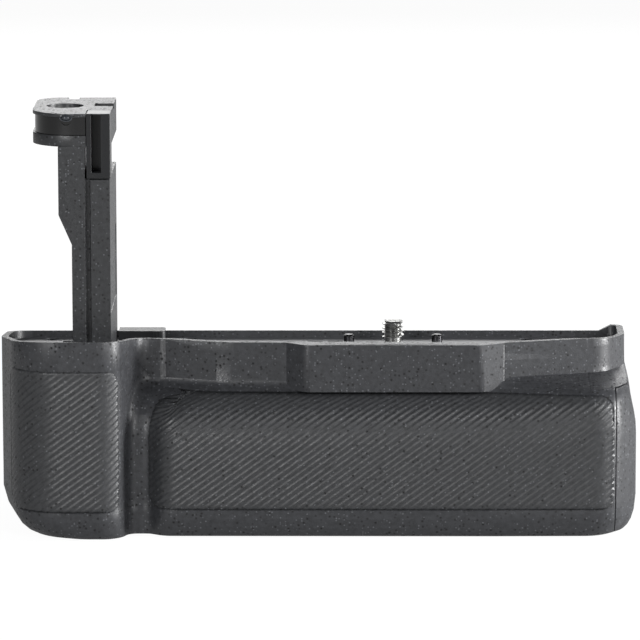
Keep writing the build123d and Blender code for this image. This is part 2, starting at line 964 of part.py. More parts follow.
def tray_end_cap(form):
    """Outer end of the tray, cut from the housing's own form, hollow inside and with a track for the latch."""
    cap = form & cap_region(0)
    pocket = block(
        (cap_inner_x, cap_outer_wall_x()),
        (-cap_pocket_front, cap_pocket_rear),
        (cap_pocket_low, cap_pocket_high),
    )
    cap -= pocket
    track_half = knob_width * half + track_margin
    cap -= block(
        (track_x(), half_length + overrun),
        (latch_y - track_half, latch_y + track_half),
        (latch_z - knob_height * half - track_margin, latch_z + knob_height * half + track_margin + latch_travel),
    )
    neck_half = neck_width * half + slide_gap
    cap -= block(
        (cap_outer_wall_x(), half_length),
        (latch_y - neck_half, latch_y + neck_half),
        (latch_z - neck_height * half - slide_gap, latch_z + neck_height * half + slide_gap + latch_travel),
    )
    x0, x1 = bolt_x_range()
    bolt_half = bolt_width * half + slide_gap
    cap -= block(
        (x0 - slide_gap, x1 + running_gap),
        (latch_y - bolt_half, latch_y + bolt_half),
        (cap_pocket_high, cap_top + overrun),
    )
    cap -= cap_tongue(fit_gap)
    for x, y in cap_screw_places():
        cap -= post(x, y, tray_floor_z, cap_pocket_low, latch_screw_radius + running_gap)
        cap -= post(x, y, -overrun, tray_floor_z, cap_head_radius + running_gap)
    return cap


def cap_screw_places():
    """Screws that hold the cap to the tongue of the tray's floor, from below."""
    x = cap_inner_x + tongue_reach * half
    middle = (tray_rear - tray_front) * half
    return [(x, middle - cap_screw_spacing * half), (x, middle + cap_screw_spacing * half)]


def cap_tongue(gap):
    """Tongue of the tray's floor inside the cap."""
    middle = (tray_rear - tray_front) * half
    side = cap_screw_spacing * half + 2 * latch_head_radius + gap
    return block(
        (cap_inner_x - tray_wall, cap_inner_x + tongue_reach + gap),
        (middle - side, middle + side),
        (tray_floor_z - gap, tray_floor_z + tray_floor + gap),
    )


def cap_screws():
    screws = []
    for x, y in cap_screw_places():
        head = post(x, y, tray_floor_z - latch_head_height, tray_floor_z, cap_head_radius)
        screws.append(head + post(x, y, tray_floor_z, cap_pocket_low - small_round, latch_screw_radius))
    return Compound(children=screws)


def latch_knob():
    """Thumb piece of the latch, proud of the end cap, with its neck, which passes through the cap."""
    x0 = track_x() + running_gap
    knob = block(
        (x0, half_length),
        (latch_y - knob_width * half, latch_y + knob_width * half),
        (latch_z - knob_height * half, latch_z + knob_height * half),
    )
    knob = fillet(knob.edges().filter_by(Axis.X), small_round)
    pitch = knob_height / (knob_ribs + 1)
    for i in range(knob_ribs):
        z = latch_z - knob_height * half + (i + 1) * pitch
        knob -= block(
            (half_length - knob_rib_depth, half_length),
            (latch_y - knob_width * half + small_round, latch_y + knob_width * half - small_round),
            (z - knob_rib_width * half, z + knob_rib_width * half),
        )
    _, bolt_x = bolt_x_range()
    knob += block(
        (bolt_x, x0),
        (latch_y - neck_width * half, latch_y + neck_width * half),
        (latch_z - neck_height * half, latch_z + neck_height * half),
    )
    return knob


def latch_bolt():
    """Sliding plate behind the end cap, which rises into the keeper above the cap."""
    side = bolt_width * half
    return block(bolt_x_range(), (latch_y - side, latch_y + side), (bolt_bottom, bolt_top))


def latch_screw():
    """Screw that joins the bolt plate to the neck of the thumb piece."""
    x0, _ = bolt_x_range()
    head = Pos(x0 - latch_head_height * half, latch_y, latch_z)
    return head * (Rot(0, 90, 0) * Cylinder(latch_head_radius, latch_head_height))


def stem_profile(left_low, left_high, right, z0, z1):
    """Front view of a part of the stem, wider on the left above the taper."""
    return [
        (-right, z0),
        (-right, z1),
        (-left_high, z1),
        (-left_high, stem_taper_high),
        (-left_low, stem_taper_low),
        (-left_low, z0),
    ]


def front_prism(points, y0, y1):
    """A solid with the given front view between two depths."""
    face = make_face(Polyline(*[(x, y0, z) for x, z in points], close=True))
    return extrude(face, amount=y1 - y0, dir=(0, 1, 0))


def stem_duct(z0, z1):
    """Cable duct inside the stem, between its two halves."""
    return block(
        (-groove_left - stem_wall, -groove_right),
        (-stem_front + groove_depth + stem_wall, stem_rear - groove_depth - stem_wall),
        (z0, z1),
    )


def stem_frame():
    """Left half of the stem with its mounting flange inside the housing."""
    outline = stem_profile(stem_left, stem_upper_left, groove_left, flange_top, head_bottom)
    frame = front_prism(outline, -stem_front, stem_rear)
    frame += block(
        (-groove_left, -groove_right),
        (-stem_front + groove_depth, stem_rear - groove_depth),
        (flange_top, head_bottom),
    )
    flange = block(
        (-stem_left - flange_margin, -stem_right + flange_right_margin),
        (-stem_front, stem_rear + flange_margin),
        (flange_top - flange_thickness, flange_top),
    )
    for x, y in stem_screw_places():
        flange -= post(x, y, 0, flange_top, deck_screw_radius + fit_gap)
    frame -= block(
        (-groove_left, -groove_right),
        (-stem_front, -stem_front + cap_block_depth),
        (cap_block_bottom - fit_gap, head_bottom),
    )
    return frame + flange - stem_duct(flange_top - flange_thickness, head_bottom)


def stem_screw_places():
    left = -stem_left - flange_margin * half
    rear = stem_rear + flange_margin * half
    right = -stem_right - flange_screw_inset
    return [(left, -flange_screw_front), (left, flange_screw_rear), (-groove_left, rear), (right, rear)]


def stem_screws():
    screws = []
    for x, y in stem_screw_places():
        z = flange_top - flange_thickness
        screws.append(post(x, y, z - base_head_height, z, deck_head_radius)
                      + post(x, y, z, bulkhead_top - small_round, deck_screw_radius))
    return Compound(children=screws)


def stem_cover():
    """Right half of the stem, a shallow shell that closes the cable duct, with a sunken panel on its side."""
    y0 = -stem_front + cover_inset
    y1 = stem_rear - cover_inset
    cover = block((-groove_right, -stem_right), (y0, y1), (flange_top, cover_top))
    cover -= block(
        (-groove_right, -stem_right - stem_wall),
        (y0 + stem_wall, y1 - stem_wall),
        (flange_top, cover_top - stem_wall),
    )
    cover -= block(
        (-stem_right - stem_panel_sink, -stem_right),
        (y0 + stem_panel_margin, y1 - stem_panel_margin),
        tuple(blend(deck_floor, cover_top, share) for share in stem_panel_level_shares),
    )
    return cover


def head_face(left, front, rear, left_round_front, left_round_rear):
    """Plan of the head with its rounded free end."""
    points = [(-head_right, -front), (-head_right, rear), (-left, rear), (-left, -front)]
    radii = [small_round, small_round, left_round_rear, left_round_front]
    return make_face(FilletPolyline(*points, radius=radii, close=True))


def stem_head():
    """Hooked head: a rounded block with a band recess round its free end, a round pocket and a contact channel."""
    outer = head_face(head_left, stem_front, stem_rear, head_nose_round, head_round)
    head = prism(outer, head_bottom, head_top)
    inner = head_face(
        head_left - band_recess_depth,
        stem_front - band_recess_depth,
        stem_rear - band_recess_depth,
        head_nose_round - band_recess_depth,
        head_round - band_recess_depth,
    )
    ring = prism(outer - inner, band_recess_low, band_recess_high)
    ring &= block((-head_left, -cap_block_left), (-stem_front, stem_rear), (head_bottom, head_top))
    head -= ring
    head -= post(-hook_hole_x, hook_hole_y, head_top - hook_hole_depth, head_top, hook_hole_radius)
    head -= block(
        (-notch_left, -notch_right),
        (stem_rear - notch_depth, stem_rear),
        (head_top - notch_drop, head_top),
    )
    head -= block(
        (-cap_block_left, -head_right),
        (-stem_front, -stem_front + cap_block_depth),
        (head_bottom, head_top),
    )
    head -= block(
        (-cap_slot_left, -head_right),
        (contact_channel_front, contact_channel_rear),
        (head_top - contact_channel_depth, head_top),
    )
    for i in range(stem_contact_count):
        head -= contact_slot(i, fit_gap)
    lens = Rot(90, 0, 0) * Cylinder(lens_radius, 2 * lens_depth)
    return head - Pos(-lens_x, -stem_front, lens_z) * lens


def head_window():
    """Glossy strip that lines the band recess of the head."""
    outer = head_face(
        head_left - band_recess_depth + window_depth,
        stem_front - band_recess_depth + window_depth,
        stem_rear - band_recess_depth + window_depth,
        head_nose_round - band_recess_depth + window_depth,
        head_round - band_recess_depth + window_depth,
    )
    inner = head_face(
        head_left - band_recess_depth,
        stem_front - band_recess_depth,
        stem_rear - band_recess_depth,
        head_nose_round - band_recess_depth,
        head_round - band_recess_depth,
    )
    strip = prism(outer - inner, band_recess_low + fit_gap, band_recess_high - fit_gap)
    region = block((-head_left, -cap_block_left - fit_gap), (-stem_front, stem_rear), (head_bottom, head_top))
    strip &= region
    return strip - Pos(-lens_x, -stem_front, lens_z) * (
        Rot(90, 0, 0) * Cylinder(lens_radius + fit_gap, 2 * band_recess_depth)
    )


def contact_cap():
    """Block at the front of the head above the cover, with the deep upright slot."""
    cap = block(
        (-cap_block_left + fit_gap, -head_right),
        (-stem_front, -stem_front + cap_block_depth - fit_gap),
        (cap_block_bottom, head_top),
    )
    slot = block(
        (-cap_slot_left, -cap_slot_right),
        (-stem_front, -stem_front + cap_slot_depth),
        (cap_block_bottom + cap_slot_sill, head_top),
    )
    slot -= block(
        (-cap_slot_left, -cap_slot_right),
        (-stem_front, -stem_front + cap_slot_depth),
        (head_top - small_round, head_top),
    )
    return cap - slot


def contact_slot(index, gap):
    """Upright slot or strip of one stem contact below the channel in the head."""
    x = -cap_slot_left + stem_contact_margin + index * stem_contact_pitch
    top = head_top - contact_channel_depth
    return block(
        (x - stem_contact_width * half - gap, x + stem_contact_width * half + gap),
        (contact_channel_front + stem_contact_inset - gap, contact_channel_rear - stem_contact_inset + gap),
        (top - stem_contact_height - gap, top),
    )


def stem_contacts():
    return Compound(children=[contact_slot(i, 0) for i in range(stem_contact_count)])


def stem_flex():
    """Flexible circuit in the duct, from the head down to its socket on the board."""
    x = -groove_left - stem_wall + flex_thickness
    z = board_z + board_thickness + flex_socket_height * half
    socket_side = flex_socket_x() - flex_socket_width * half
    path = FilletPolyline((x, 0, head_bottom - flex_top_gap), (x, 0, z), (socket_side, 0, z), radius=flex_bend)
    section = Plane(origin=path @ 0, x_dir=(0, 1, 0), z_dir=path % 0) * Rectangle(flex_width, flex_thickness)
    return sweep(section, path)


def flex_socket_x():
    return -board_left + board_screw_inset + flex_socket_width


def contact_block():
    """Insulating carrier of the bay contacts, set against the inner wall."""
    carrier = block(
        (bay_inner_x, bay_inner_x + block_thickness),
        (-tray_front + small_round, tray_rear - small_round),
        (block_low, block_high),
    )
    for index, z in blade_places():
        y0, y1 = pack_y_range(index)
        y = (y0 + y1) * half
        carrier -= blade_solid(y, z, fit_gap)
    return carrier


def blade_places():
    z0 = tray_floor_z + tray_floor + pack_width * half
    return [(index, z0 + side * pack_slot_spread) for index in range(pack_count) for side in (-half, half)]


def blade_solid(y, z, gap):
    """One flat contact blade through the carrier, reaching into the pack's slot."""
    return block(
        (bay_inner_x, pack_inner_x + blade_reach),
        (y - blade_thickness * half - gap, y + blade_thickness * half + gap),
        (z - blade_width * half - gap, z + blade_width * half + gap),
    )


def contact_blades():
    blades = []
    for index, z in blade_places():
        y0, y1 = pack_y_range(index)
        blades.append(blade_solid((y0 + y1) * half, z, 0))
    return Compound(children=blades)


def board_post_places():
    xs = (-board_left + board_screw_inset, -board_right - board_screw_inset)
    ys = (-board_front + board_screw_inset, board_rear - board_screw_inset)
    return [(x, y) for x in xs for y in ys]


def main_board():
    """Circuit board on four posts above the boss of the tripod socket."""
    board = block((-board_left, -board_right), (-board_front, board_rear), (board_z, board_z + board_thickness))
    board = fillet(board.edges().filter_by(Axis.Z), board_corner)
    for x, y in board_post_places():
        board -= post(x, y, 0, rim_top, board_screw_radius + fit_gap)
    return board


def board_screws():
    screws = []
    top = board_z + board_thickness
    for x, y in board_post_places():
        screws.append(post(x, y, top, top + board_head_height, board_head_radius)
                      + post(x, y, top - base_boss_height, top, board_screw_radius - running_gap))
    return Compound(children=screws)


def on_board(size_x, size_y, height, x, y):
    top = board_z + board_thickness
    return block(
        (x - size_x * half, x + size_x * half),
        (y - size_y * half, y + size_y * half),
        (top, top + height),
    )


def board_middle():
    return -(board_left + board_right) * half, (board_rear - board_front) * half


def board_coils():
    """Two shielded coils of the converter."""
    x, y = board_middle()
    coils = [on_board(coil_size, coil_size, coil_height, x + side * coil_pitch * half, y) for side in (-1, 1)]
    return Compound(children=[fillet(coil.edges().filter_by(Axis.Z), board_corner) for coil in coils])


def board_cans():
    """Row of upright capacitors."""
    x, _ = board_middle()
    top = board_z + board_thickness
    y = board_rear - can_radius - board_screw_inset * half
    cans = []
    for i in range(can_count):
        can_x = x + (i - (can_count - 1) * half) * can_pitch
        cans.append(post(can_x, y, top, top + can_height, can_radius))
    return Compound(children=cans)


def board_chips():
    """Flat chips beside the coils."""
    x, _ = board_middle()
    y = -board_front + chip_size * half + board_screw_inset * half
    chips = [on_board(chip_size, chip_size, chip_height, x + i * chip_pitch, y) for i in (-1, 0, 1)]
    return Compound(children=chips)


def board_plugs():
    """Sockets on the board for the leads of the contact block, and the socket of the stem's circuit."""
    plugs = []
    for index in range(pack_count):
        plugs.append(on_board(plug_size, plug_size, plug_height, plug_x(), lead_y(index)))
    plugs.append(on_board(flex_socket_width, flex_socket_length, flex_socket_height, flex_socket_x(), 0))
    return Compound(children=plugs)


def plug_x():
    return -board_right - board_screw_inset - board_head_radius - plug_size * half - small_round


def lead_y(index):
    y0, y1 = pack_y_range(index)
    return (y0 + y1) * half


def power_leads():
    """Leads from the contact blades to the sockets on the board: the low ones straight, the high ones bent down."""
    leads = []
    plug_top = board_z + board_thickness + plug_height
    for index, z in blade_places():
        y = lead_y(index)
        if z < plug_top:
            path = Line((bay_inner_x, y, z), (plug_x() + plug_size * half, y, z))
        else:
            points = ((bay_inner_x, y, z), (plug_x(), y, z), (plug_x(), y, plug_top))
            path = FilletPolyline(*points, radius=lead_bend)
        section = Plane(origin=path @ 0, z_dir=path % 0) * Circle(lead_radius)
        leads.append(sweep(section, path))
    return Compound(children=leads)


def sub_parts():
    """Every named piece of the grip."""
    form = housing_form()
    body = housing_body(form)
    return {
        "main_housing": main_housing(body),
        "end_frame": end_frame(body),
        "base_plate": base_plate(),
        "base_screws": base_screws(),
        "tripod_socket": tripod_socket(),
        "top_deck": top_deck(),
        "deck_ledge": deck_ledge(),
        "deck_screws": deck_screws(),
        "locating_pins": locating_pins(),
        "screw_bush": screw_bush(),
        "mount_screw": mount_screw(),
        "thumb_wheel": thumb_wheel(),
        "screw_clip": screw_clip(),
        "wave_washer": wave_washer(),
        "battery_tray": battery_tray(),
        "tray_end_cap": tray_end_cap(form),
        "cap_screws": cap_screws(),
        "front_pack": video_pack(0),
        "rear_pack": video_pack(1),
        "latch_knob": latch_knob(),
        "latch_bolt": latch_bolt(),
        "latch_screw": latch_screw(),
        "stem_frame": stem_frame(),
        "stem_cover": stem_cover(),
        "stem_screws": stem_screws(),
        "stem_head": stem_head(),
        "head_window": head_window(),
        "contact_cap": contact_cap(),
        "stem_contacts": stem_contacts(),
        "stem_flex": stem_flex(),
        "contact_block": contact_block(),
        "contact_blades": contact_blades(),
        "power_leads": power_leads(),
        "main_board": main_board(),
        "board_screws": board_screws(),
        "board_coils": board_coils(),
        "board_cans": board_cans(),
        "board_chips": board_chips(),
        "board_plugs": board_plugs(),
    }


os.makedirs("parts", exist_ok=True)
for name, shape in sub_parts().items():
    export_step(shape, f"parts/{name}.step")
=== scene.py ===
"""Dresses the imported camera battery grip: moulded finishes, ribbed skin, threaded camera screw, small screws,
lens and a studio."""

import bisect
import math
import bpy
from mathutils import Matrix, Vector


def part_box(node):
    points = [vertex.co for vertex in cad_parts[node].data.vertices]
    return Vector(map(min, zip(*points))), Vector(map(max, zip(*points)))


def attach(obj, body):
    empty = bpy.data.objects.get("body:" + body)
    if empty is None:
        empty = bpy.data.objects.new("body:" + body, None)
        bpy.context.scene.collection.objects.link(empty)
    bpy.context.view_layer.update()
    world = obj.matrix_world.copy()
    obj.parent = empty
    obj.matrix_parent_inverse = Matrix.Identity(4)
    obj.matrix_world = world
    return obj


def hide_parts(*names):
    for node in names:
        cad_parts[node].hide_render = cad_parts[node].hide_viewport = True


bl_info = {
    "name": "Camera Battery Grip",
    "version": (1, 0, 0),
    "blender": (4, 5, 0),
    "location": "View3D > Sidebar > Grip",
    "description": "Finishes, ribbed skin, screws, lens and studio of a camera battery grip",
    "category": "Object",
}

import bmesh
import bpy
from mathutils import Matrix, Vector
from mathutils.bvhtree import BVHTree

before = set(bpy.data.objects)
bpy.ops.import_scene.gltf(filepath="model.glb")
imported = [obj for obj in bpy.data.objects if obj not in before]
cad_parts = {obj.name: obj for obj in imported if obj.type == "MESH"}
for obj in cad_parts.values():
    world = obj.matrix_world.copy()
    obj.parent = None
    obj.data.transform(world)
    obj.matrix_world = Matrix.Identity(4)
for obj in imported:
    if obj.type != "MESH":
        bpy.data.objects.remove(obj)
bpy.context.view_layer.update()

MM = 0.001
UP = Vector((0, 0, 1))
# Points of a CAD mesh that lie closer than MERGE are one point, and points within LEVEL lie on one level.
MERGE = 0.005 * MM
LEVEL = 0.01 * MM


def linear(code):
    """Linear colour with alpha 1 from an sRGB hex code."""
    parts = [int(code[i:i + 2], 16) / 255 for i in (1, 3, 5)]
    return [p / 12.92 if p <= 0.04045 else ((p + 0.055) / 1.055) ** 2.4 for p in parts] + [1.0]


def colour(code, name, description):
    """A colour property whose default is an sRGB hex code."""
    return bpy.props.FloatVectorProperty(
        name=name, description=description, subtype="COLOR", size=4, min=0, max=1, default=linear(code)
    )


def length(size, name, description):
    """A length property in metres whose default is given in millimetres."""
    return bpy.props.FloatProperty(
        name=name, description=description, default=size * MM, unit="LENGTH", precision=5
    )


def number(value, name, description, unit="NONE"):
    """A number property, with a unit if it has one."""
    return bpy.props.FloatProperty(name=name, description=description, default=value, unit=unit)


class GripSkinSizes(bpy.types.PropertyGroup):
    rib_pitch: length(1.55, "Rib pitch", "Distance from one rib of the grip skin to the next")
    rib_height: length(0.24, "Rib height", "Height of a rib above its groove")
    rib_angle: bpy.props.FloatProperty(
        name="Rib angle", description="Rise of the ribs from the horizontal",
        default=math.radians(36), subtype="ANGLE",
    )
    edge_gap: length(0.2, "Edge gap", "Gap between the skin and the step round its sunken panel")
    thickness: length(0.12, "Thickness", "Thickness of the skin under its grooves")
    panel_left: length(-87.4, "Left edge", "X of the panel's left edge on the hand grip")
    panel_right: length(82.6, "Right edge", "X of the panel's right edge beside the end cap")
    panel_foot: length(8.0, "Foot", "Height of the panel's lower edge")
    panel_top: length(40.4, "Top", "Height of the panel's upper edge along the belly")
    grip_top: length(48.6, "Grip top", "Height of the panel's upper edge on the hand grip")
    valley_left: length(-56.6, "Valley left", "X at which the ribs of the hand grip end at the valley")
    valley_right: length(-48.6, "Valley right", "X at which the ribs of the belly begin beside the valley")
    fade: length(4.0, "Fade", "Distance over which the ribs flatten towards the upper edge")
    corner: length(4.0, "Corner", "Radius of the panel's corners")


class GripScrewSizes(bpy.types.PropertyGroup):
    thread_pitch: length(1.27, "Thread pitch", "Rise of the camera screw's thread in one turn")
    thread_radius: length(3.175, "Thread radius", "Radius over the crests of the thread")
    thread_depth: length(0.78, "Thread depth", "Depth of the thread's groove")
    thread_foot: length(50.5, "Thread foot", "Height at which the thread begins")
    tip_chamfer: length(0.6, "Tip chamfer", "Chamfer at the screw's tip")
    slot_width: length(1.2, "Slot width", "Width of the slot in the tip")
    slot_depth: length(1.2, "Slot depth", "Depth of the slot in the tip")
    cross_width: length(0.42, "Cross width", "Width of the arms of the cross recess in the small screws")
    cross_depth: length(0.5, "Cross depth", "Depth of the cross recess in the small screws")


class GripHeadSizes(bpy.types.PropertyGroup):
    lens_radius: length(1.3, "Lens radius", "Radius of the small lens in the head, before it is drawn oval")
    lens_x: length(-71.0, "Lens X", "X of the lens's axis")
    lens_z: length(118.05, "Lens height", "Height of the lens's axis")
    lens_front: length(-17.25, "Lens front", "Y of the lens's front")
    lens_wide: number(1.4, "Lens width", "Width of the oval by its radius")
    lens_high: number(0.82, "Lens height share", "Height of the oval by its radius")


class GripColours(bpy.types.PropertyGroup):
    housing: colour("#36373a", "Housing", "Moulded carbon-filled plastic of the housing")
    skin: colour("#37383a", "Skin", "Ribbed area of the hand grip and the belly")
    deck: colour("#4c4d50", "Deck", "Floor of the camera seat")
    stem: colour("#313234", "Stem", "Stem that fills the camera's battery bay")
    fleck: colour("#0d0d0e", "Fleck", "Dark carbon flecks in the moulded plastic")
    # Painted glints: light spots put into the plastic's colour where small reflections glint on the real plastic.
    painted_glint: colour("#6c6e72", "Glint", "Light fibre ends in the moulded plastic")


class StudioSettings(bpy.types.PropertyGroup):
    key_power: number(4.8, "Key power", "Power of each softbox in front", unit="POWER")
    side_power: number(21.0, "Side power", "Power of the softbox at the right side", unit="POWER")
    back_power: number(9.0, "Back power", "Power of the softbox behind", unit="POWER")
    backdrop: colour("#a8a8a8", "Backdrop", "Pale floor and backdrop")


def add(tree, kind, inputs=None, **settings):
    """Adds one node with its settings; an input is a value or a socket that it is linked from."""
    made = tree.nodes.new(kind)
    for key, value in settings.items():
        setattr(made, key, value)
    for key, value in (inputs or {}).items():
        if isinstance(value, bpy.types.NodeSocket):
            tree.links.new(value, made.inputs[key])
        else:
            made.inputs[key].default_value = value
    return made


def new_material(name):
    """An empty node material with its output, its shader and the object's own coordinates."""
    material = bpy.data.materials.new(name)
    material.use_nodes = True
    tree = material.node_tree
    tree.nodes.clear()
    shader = add(tree, "ShaderNodeBsdfPrincipled")
    add(tree, "ShaderNodeOutputMaterial", {"Surface": shader.outputs["BSDF"]})
    place = add(tree, "ShaderNodeTexCoord").outputs["Object"]
    return material, tree, shader, place


def shade(base, factor):
    """A colour made darker or lighter."""
    return [min(1.0, c * factor) for c in base[:3]] + [1.0]


def moulded_plastic(name, base, tones, roughness=0.46, flecks=0.5, painted_glints=0.2):
    """Carbon-filled polycarbonate from a spark-eroded mould: a fine grain that breaks highlights, dark flecks
    and painted glints. The last two values are the shares of cells that hold a fleck or a painted glint."""
    material, tree, shader, place = new_material(name)
    # Real sizes in millimetres. Flecks and painted glints are drawn 0.4 to 0.5 mm wide; the flecks are coarser
    # than the real ones, so that they show.
    cloud, fleck_cell, painted_glint_cell, grain, grain_depth = 1.3, 1.3, 0.75, 0.4, 0.04
    mottle = add(tree, "ShaderNodeTexNoise", {"Vector": place, "Scale": 1 / (cloud * MM), "Detail": 4.0})
    spread = add(tree, "ShaderNodeMapRange", {"Value": mottle.outputs["Fac"], "From Min": 0.3, "From Max": 0.62})
    body = add(tree, "ShaderNodeMix", {
        0: spread.outputs["Result"], 6: shade(base, 0.72), 7: shade(base, 1.14),
    }, data_type="RGBA")
    pits = None
    # Dark flecks first, then light spots painted into the colour as glints.
    for cell, share, tone in ((fleck_cell, flecks, tones.fleck), (painted_glint_cell, painted_glints, tones.painted_glint)):
        cells = add(tree, "ShaderNodeTexVoronoi", {"Vector": place, "Scale": 1 / (cell * MM)})
        near = add(tree, "ShaderNodeMapRange", {
            "Value": cells.outputs["Distance"], "From Min": 0.08, "From Max": 0.4, "To Min": 1.0, "To Max": 0.0,
        })
        chance = add(tree, "ShaderNodeSeparateColor", {"Color": cells.outputs["Color"]})
        chosen = add(tree, "ShaderNodeMath", {0: chance.outputs["Red"], 1: share}, operation="LESS_THAN")
        spots = add(tree, "ShaderNodeMath", {
            0: near.outputs["Result"], 1: chosen.outputs[0],
        }, operation="MULTIPLY")
        body = add(tree, "ShaderNodeMix", {
            0: spots.outputs[0], 6: body.outputs[2], 7: list(tone),
        }, data_type="RGBA")
        pits = pits or spots
    tree.links.new(body.outputs[2], shader.inputs["Base Color"])
    grains = add(tree, "ShaderNodeTexNoise", {"Vector": place, "Scale": 1 / (grain * MM), "Detail": 2.0})
    gloss = add(tree, "ShaderNodeMapRange", {
        "Value": grains.outputs["Fac"], "From Min": 0.35, "From Max": 0.65,
        "To Min": roughness - 0.12, "To Max": roughness + 0.1,
    })
    # The flecks are dull, so that they stay dark in a highlight.
    dulled = add(tree, "ShaderNodeMath", {0: pits.outputs[0], 1: 0.45}, operation="MULTIPLY")
    rough = add(tree, "ShaderNodeMath", {0: gloss.outputs["Result"], 1: dulled.outputs[0]}, operation="ADD")
    tree.links.new(rough.outputs[0], shader.inputs["Roughness"])
    bump = add(tree, "ShaderNodeBump", {
        "Strength": 0.8, "Distance": grain_depth * MM, "Height": grains.outputs["Fac"],
    })
    tree.links.new(bump.outputs["Normal"], shader.inputs["Normal"])
    shader.inputs["IOR"].default_value = 1.55
    return material


def plain_plastic(name, base, roughness=0.45):
    """Moulded ABS with a satin mould texture and slight unevenness of tone."""
    material, tree, shader, place = new_material(name)
    # Real sizes in millimetres.
    grain, grain_depth, cloud = 0.35, 0.015, 12
    grains = add(tree, "ShaderNodeTexNoise", {"Vector": place, "Scale": 1 / (grain * MM), "Detail": 2.0})
    clouds = add(tree, "ShaderNodeTexNoise", {"Vector": place, "Scale": 1 / (cloud * MM), "Detail": 2.0})
    tone = add(tree, "ShaderNodeMix", {
        0: clouds.outputs["Fac"], 6: shade(base, 0.85), 7: shade(base, 1.12),
    }, data_type="RGBA")
    tree.links.new(tone.outputs[2], shader.inputs["Base Color"])
    gloss = add(tree, "ShaderNodeMapRange", {
        "Value": grains.outputs["Fac"], "To Min": roughness - 0.06, "To Max": roughness + 0.06,
    })
    tree.links.new(gloss.outputs["Result"], shader.inputs["Roughness"])
    bump = add(tree, "ShaderNodeBump", {
        "Strength": 0.5, "Distance": grain_depth * MM, "Height": grains.outputs["Fac"],
    })
    tree.links.new(bump.outputs["Normal"], shader.inputs["Normal"])
    return material


def machined_metal(name, base, roughness=0.25, stretch=(1, 1, 12), streak=1.6):
    """Turned or rolled metal, with fine streaks left by the tool, streak millimetres wide before the stretch."""
    material, tree, shader, place = new_material(name)
    groove_depth = 0.01 * MM
    turn = add(tree, "ShaderNodeMapping", {"Vector": place, "Scale": stretch})
    streaks = add(tree, "ShaderNodeTexNoise", {
        "Vector": turn.outputs["Vector"], "Scale": 1 / (streak * MM), "Detail": 3.0,
    })
    tone = add(tree, "ShaderNodeMix", {
        0: streaks.outputs["Fac"], 6: shade(base, 0.82), 7: list(base),
    }, data_type="RGBA")
    tree.links.new(tone.outputs[2], shader.inputs["Base Color"])
    gloss = add(tree, "ShaderNodeMapRange", {
        "Value": streaks.outputs["Fac"], "From Min": 0.3, "From Max": 0.7,
        "To Min": max(0.05, roughness - 0.08), "To Max": roughness + 0.08,
    })
    tree.links.new(gloss.outputs["Result"], shader.inputs["Roughness"])
    shader.inputs["Metallic"].default_value = 1.0
    bump = add(tree, "ShaderNodeBump", {
        "Strength": 0.2, "Distance": groove_depth, "Height": streaks.outputs["Fac"],
    })
    tree.links.new(bump.outputs["Normal"], shader.inputs["Normal"])
    return material


def glossy_window(name, base, smear=5.0):
    """Polished smoked polycarbonate, dark and mirror-like, with faint smears of the given size in millimetres."""
    material, tree, shader, place = new_material(name)
    smears = add(tree, "ShaderNodeTexNoise", {"Vector": place, "Scale": 1 / (smear * MM), "Detail": 2.0})
    gloss = add(tree, "ShaderNodeMapRange", {"Value": smears.outputs["Fac"], "To Min": 0.04, "To Max": 0.12})
    tree.links.new(gloss.outputs["Result"], shader.inputs["Roughness"])
    shader.inputs["Base Color"].default_value = base
    shader.inputs["Coat Weight"].default_value = 0.4
    shader.inputs["Coat Roughness"].default_value = 0.05
    return material


def board_laminate(name):
    """Glass-epoxy board under green solder mask, with a faint weave."""
    material, tree, shader, place = new_material(name)
    # The weave is drawn with bands of 3 mm, coarser than the real cloth's, so that it shows.
    band = 3.0 * MM
    weave = add(tree, "ShaderNodeTexWave", {"Vector": place, "Scale": 1 / band, "Distortion": 0.4})
    mask = add(tree, "ShaderNodeMix", {
        0: weave.outputs["Fac"], 6: linear("#0d4a26"), 7: linear("#115a30"),
    }, data_type="RGBA")
    tree.links.new(mask.outputs[2], shader.inputs["Base Color"])
    shader.inputs["Roughness"].default_value = 0.3
    return material


def dress(node, material):
    """Gives a CAD node its finish."""
    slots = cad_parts[node].data.materials
    slots.clear()
    slots.append(material)


def smooth_by_angle(bm, degrees=35):
    """Smooth faces with sharp edges where they meet at more than the given angle."""
    for face in bm.faces:
        face.smooth = True
    for edge in bm.edges:
        edge.smooth = len(edge.link_faces) == 2 and edge.calc_face_angle() < math.radians(degrees)


def new_piece(context, name, bm, material, body):
    """Turns a bmesh into a piece of the grip that rides on a body."""
    mesh = bpy.data.meshes.new(name)
    bm.to_mesh(mesh)
    bm.free()
    piece = bpy.data.objects.new(name, mesh)
    context.scene.collection.objects.link(piece)
    piece.data.materials.append(material)
    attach(piece, body)
    return piece


def merged_copy(node):
    """A bmesh of a CAD node in the shared frame, with its doubled points merged."""
    bm = bmesh.new()
    bm.from_mesh(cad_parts[node].data)
    bmesh.ops.remove_doubles(bm, verts=bm.verts, dist=MERGE)
    return bm


def slice_off(bm, place, way, clear_inner=False):
    """Cuts a bmesh at a plane and drops what lies beyond it, and what lies before it too if told."""
    bmesh.ops.bisect_plane(
        bm, geom=bm.verts[:] + bm.edges[:] + bm.faces[:], plane_co=place, plane_no=way,
        clear_inner=clear_inner, clear_outer=True,
    )


def close_holes(bm):
    """Fills every open loop of edges."""
    bmesh.ops.holes_fill(bm, edges=[e for e in bm.edges if e.is_boundary], sides=0)


def face_outwards(bm):
    """Turns the faces of closed shells outwards, also on a sheet so bent that the operator turns it inwards."""
    bmesh.ops.recalc_face_normals(bm, faces=bm.faces)
    if bm.calc_volume(signed=True) < 0:
        bmesh.ops.reverse_faces(bm, faces=bm.faces)


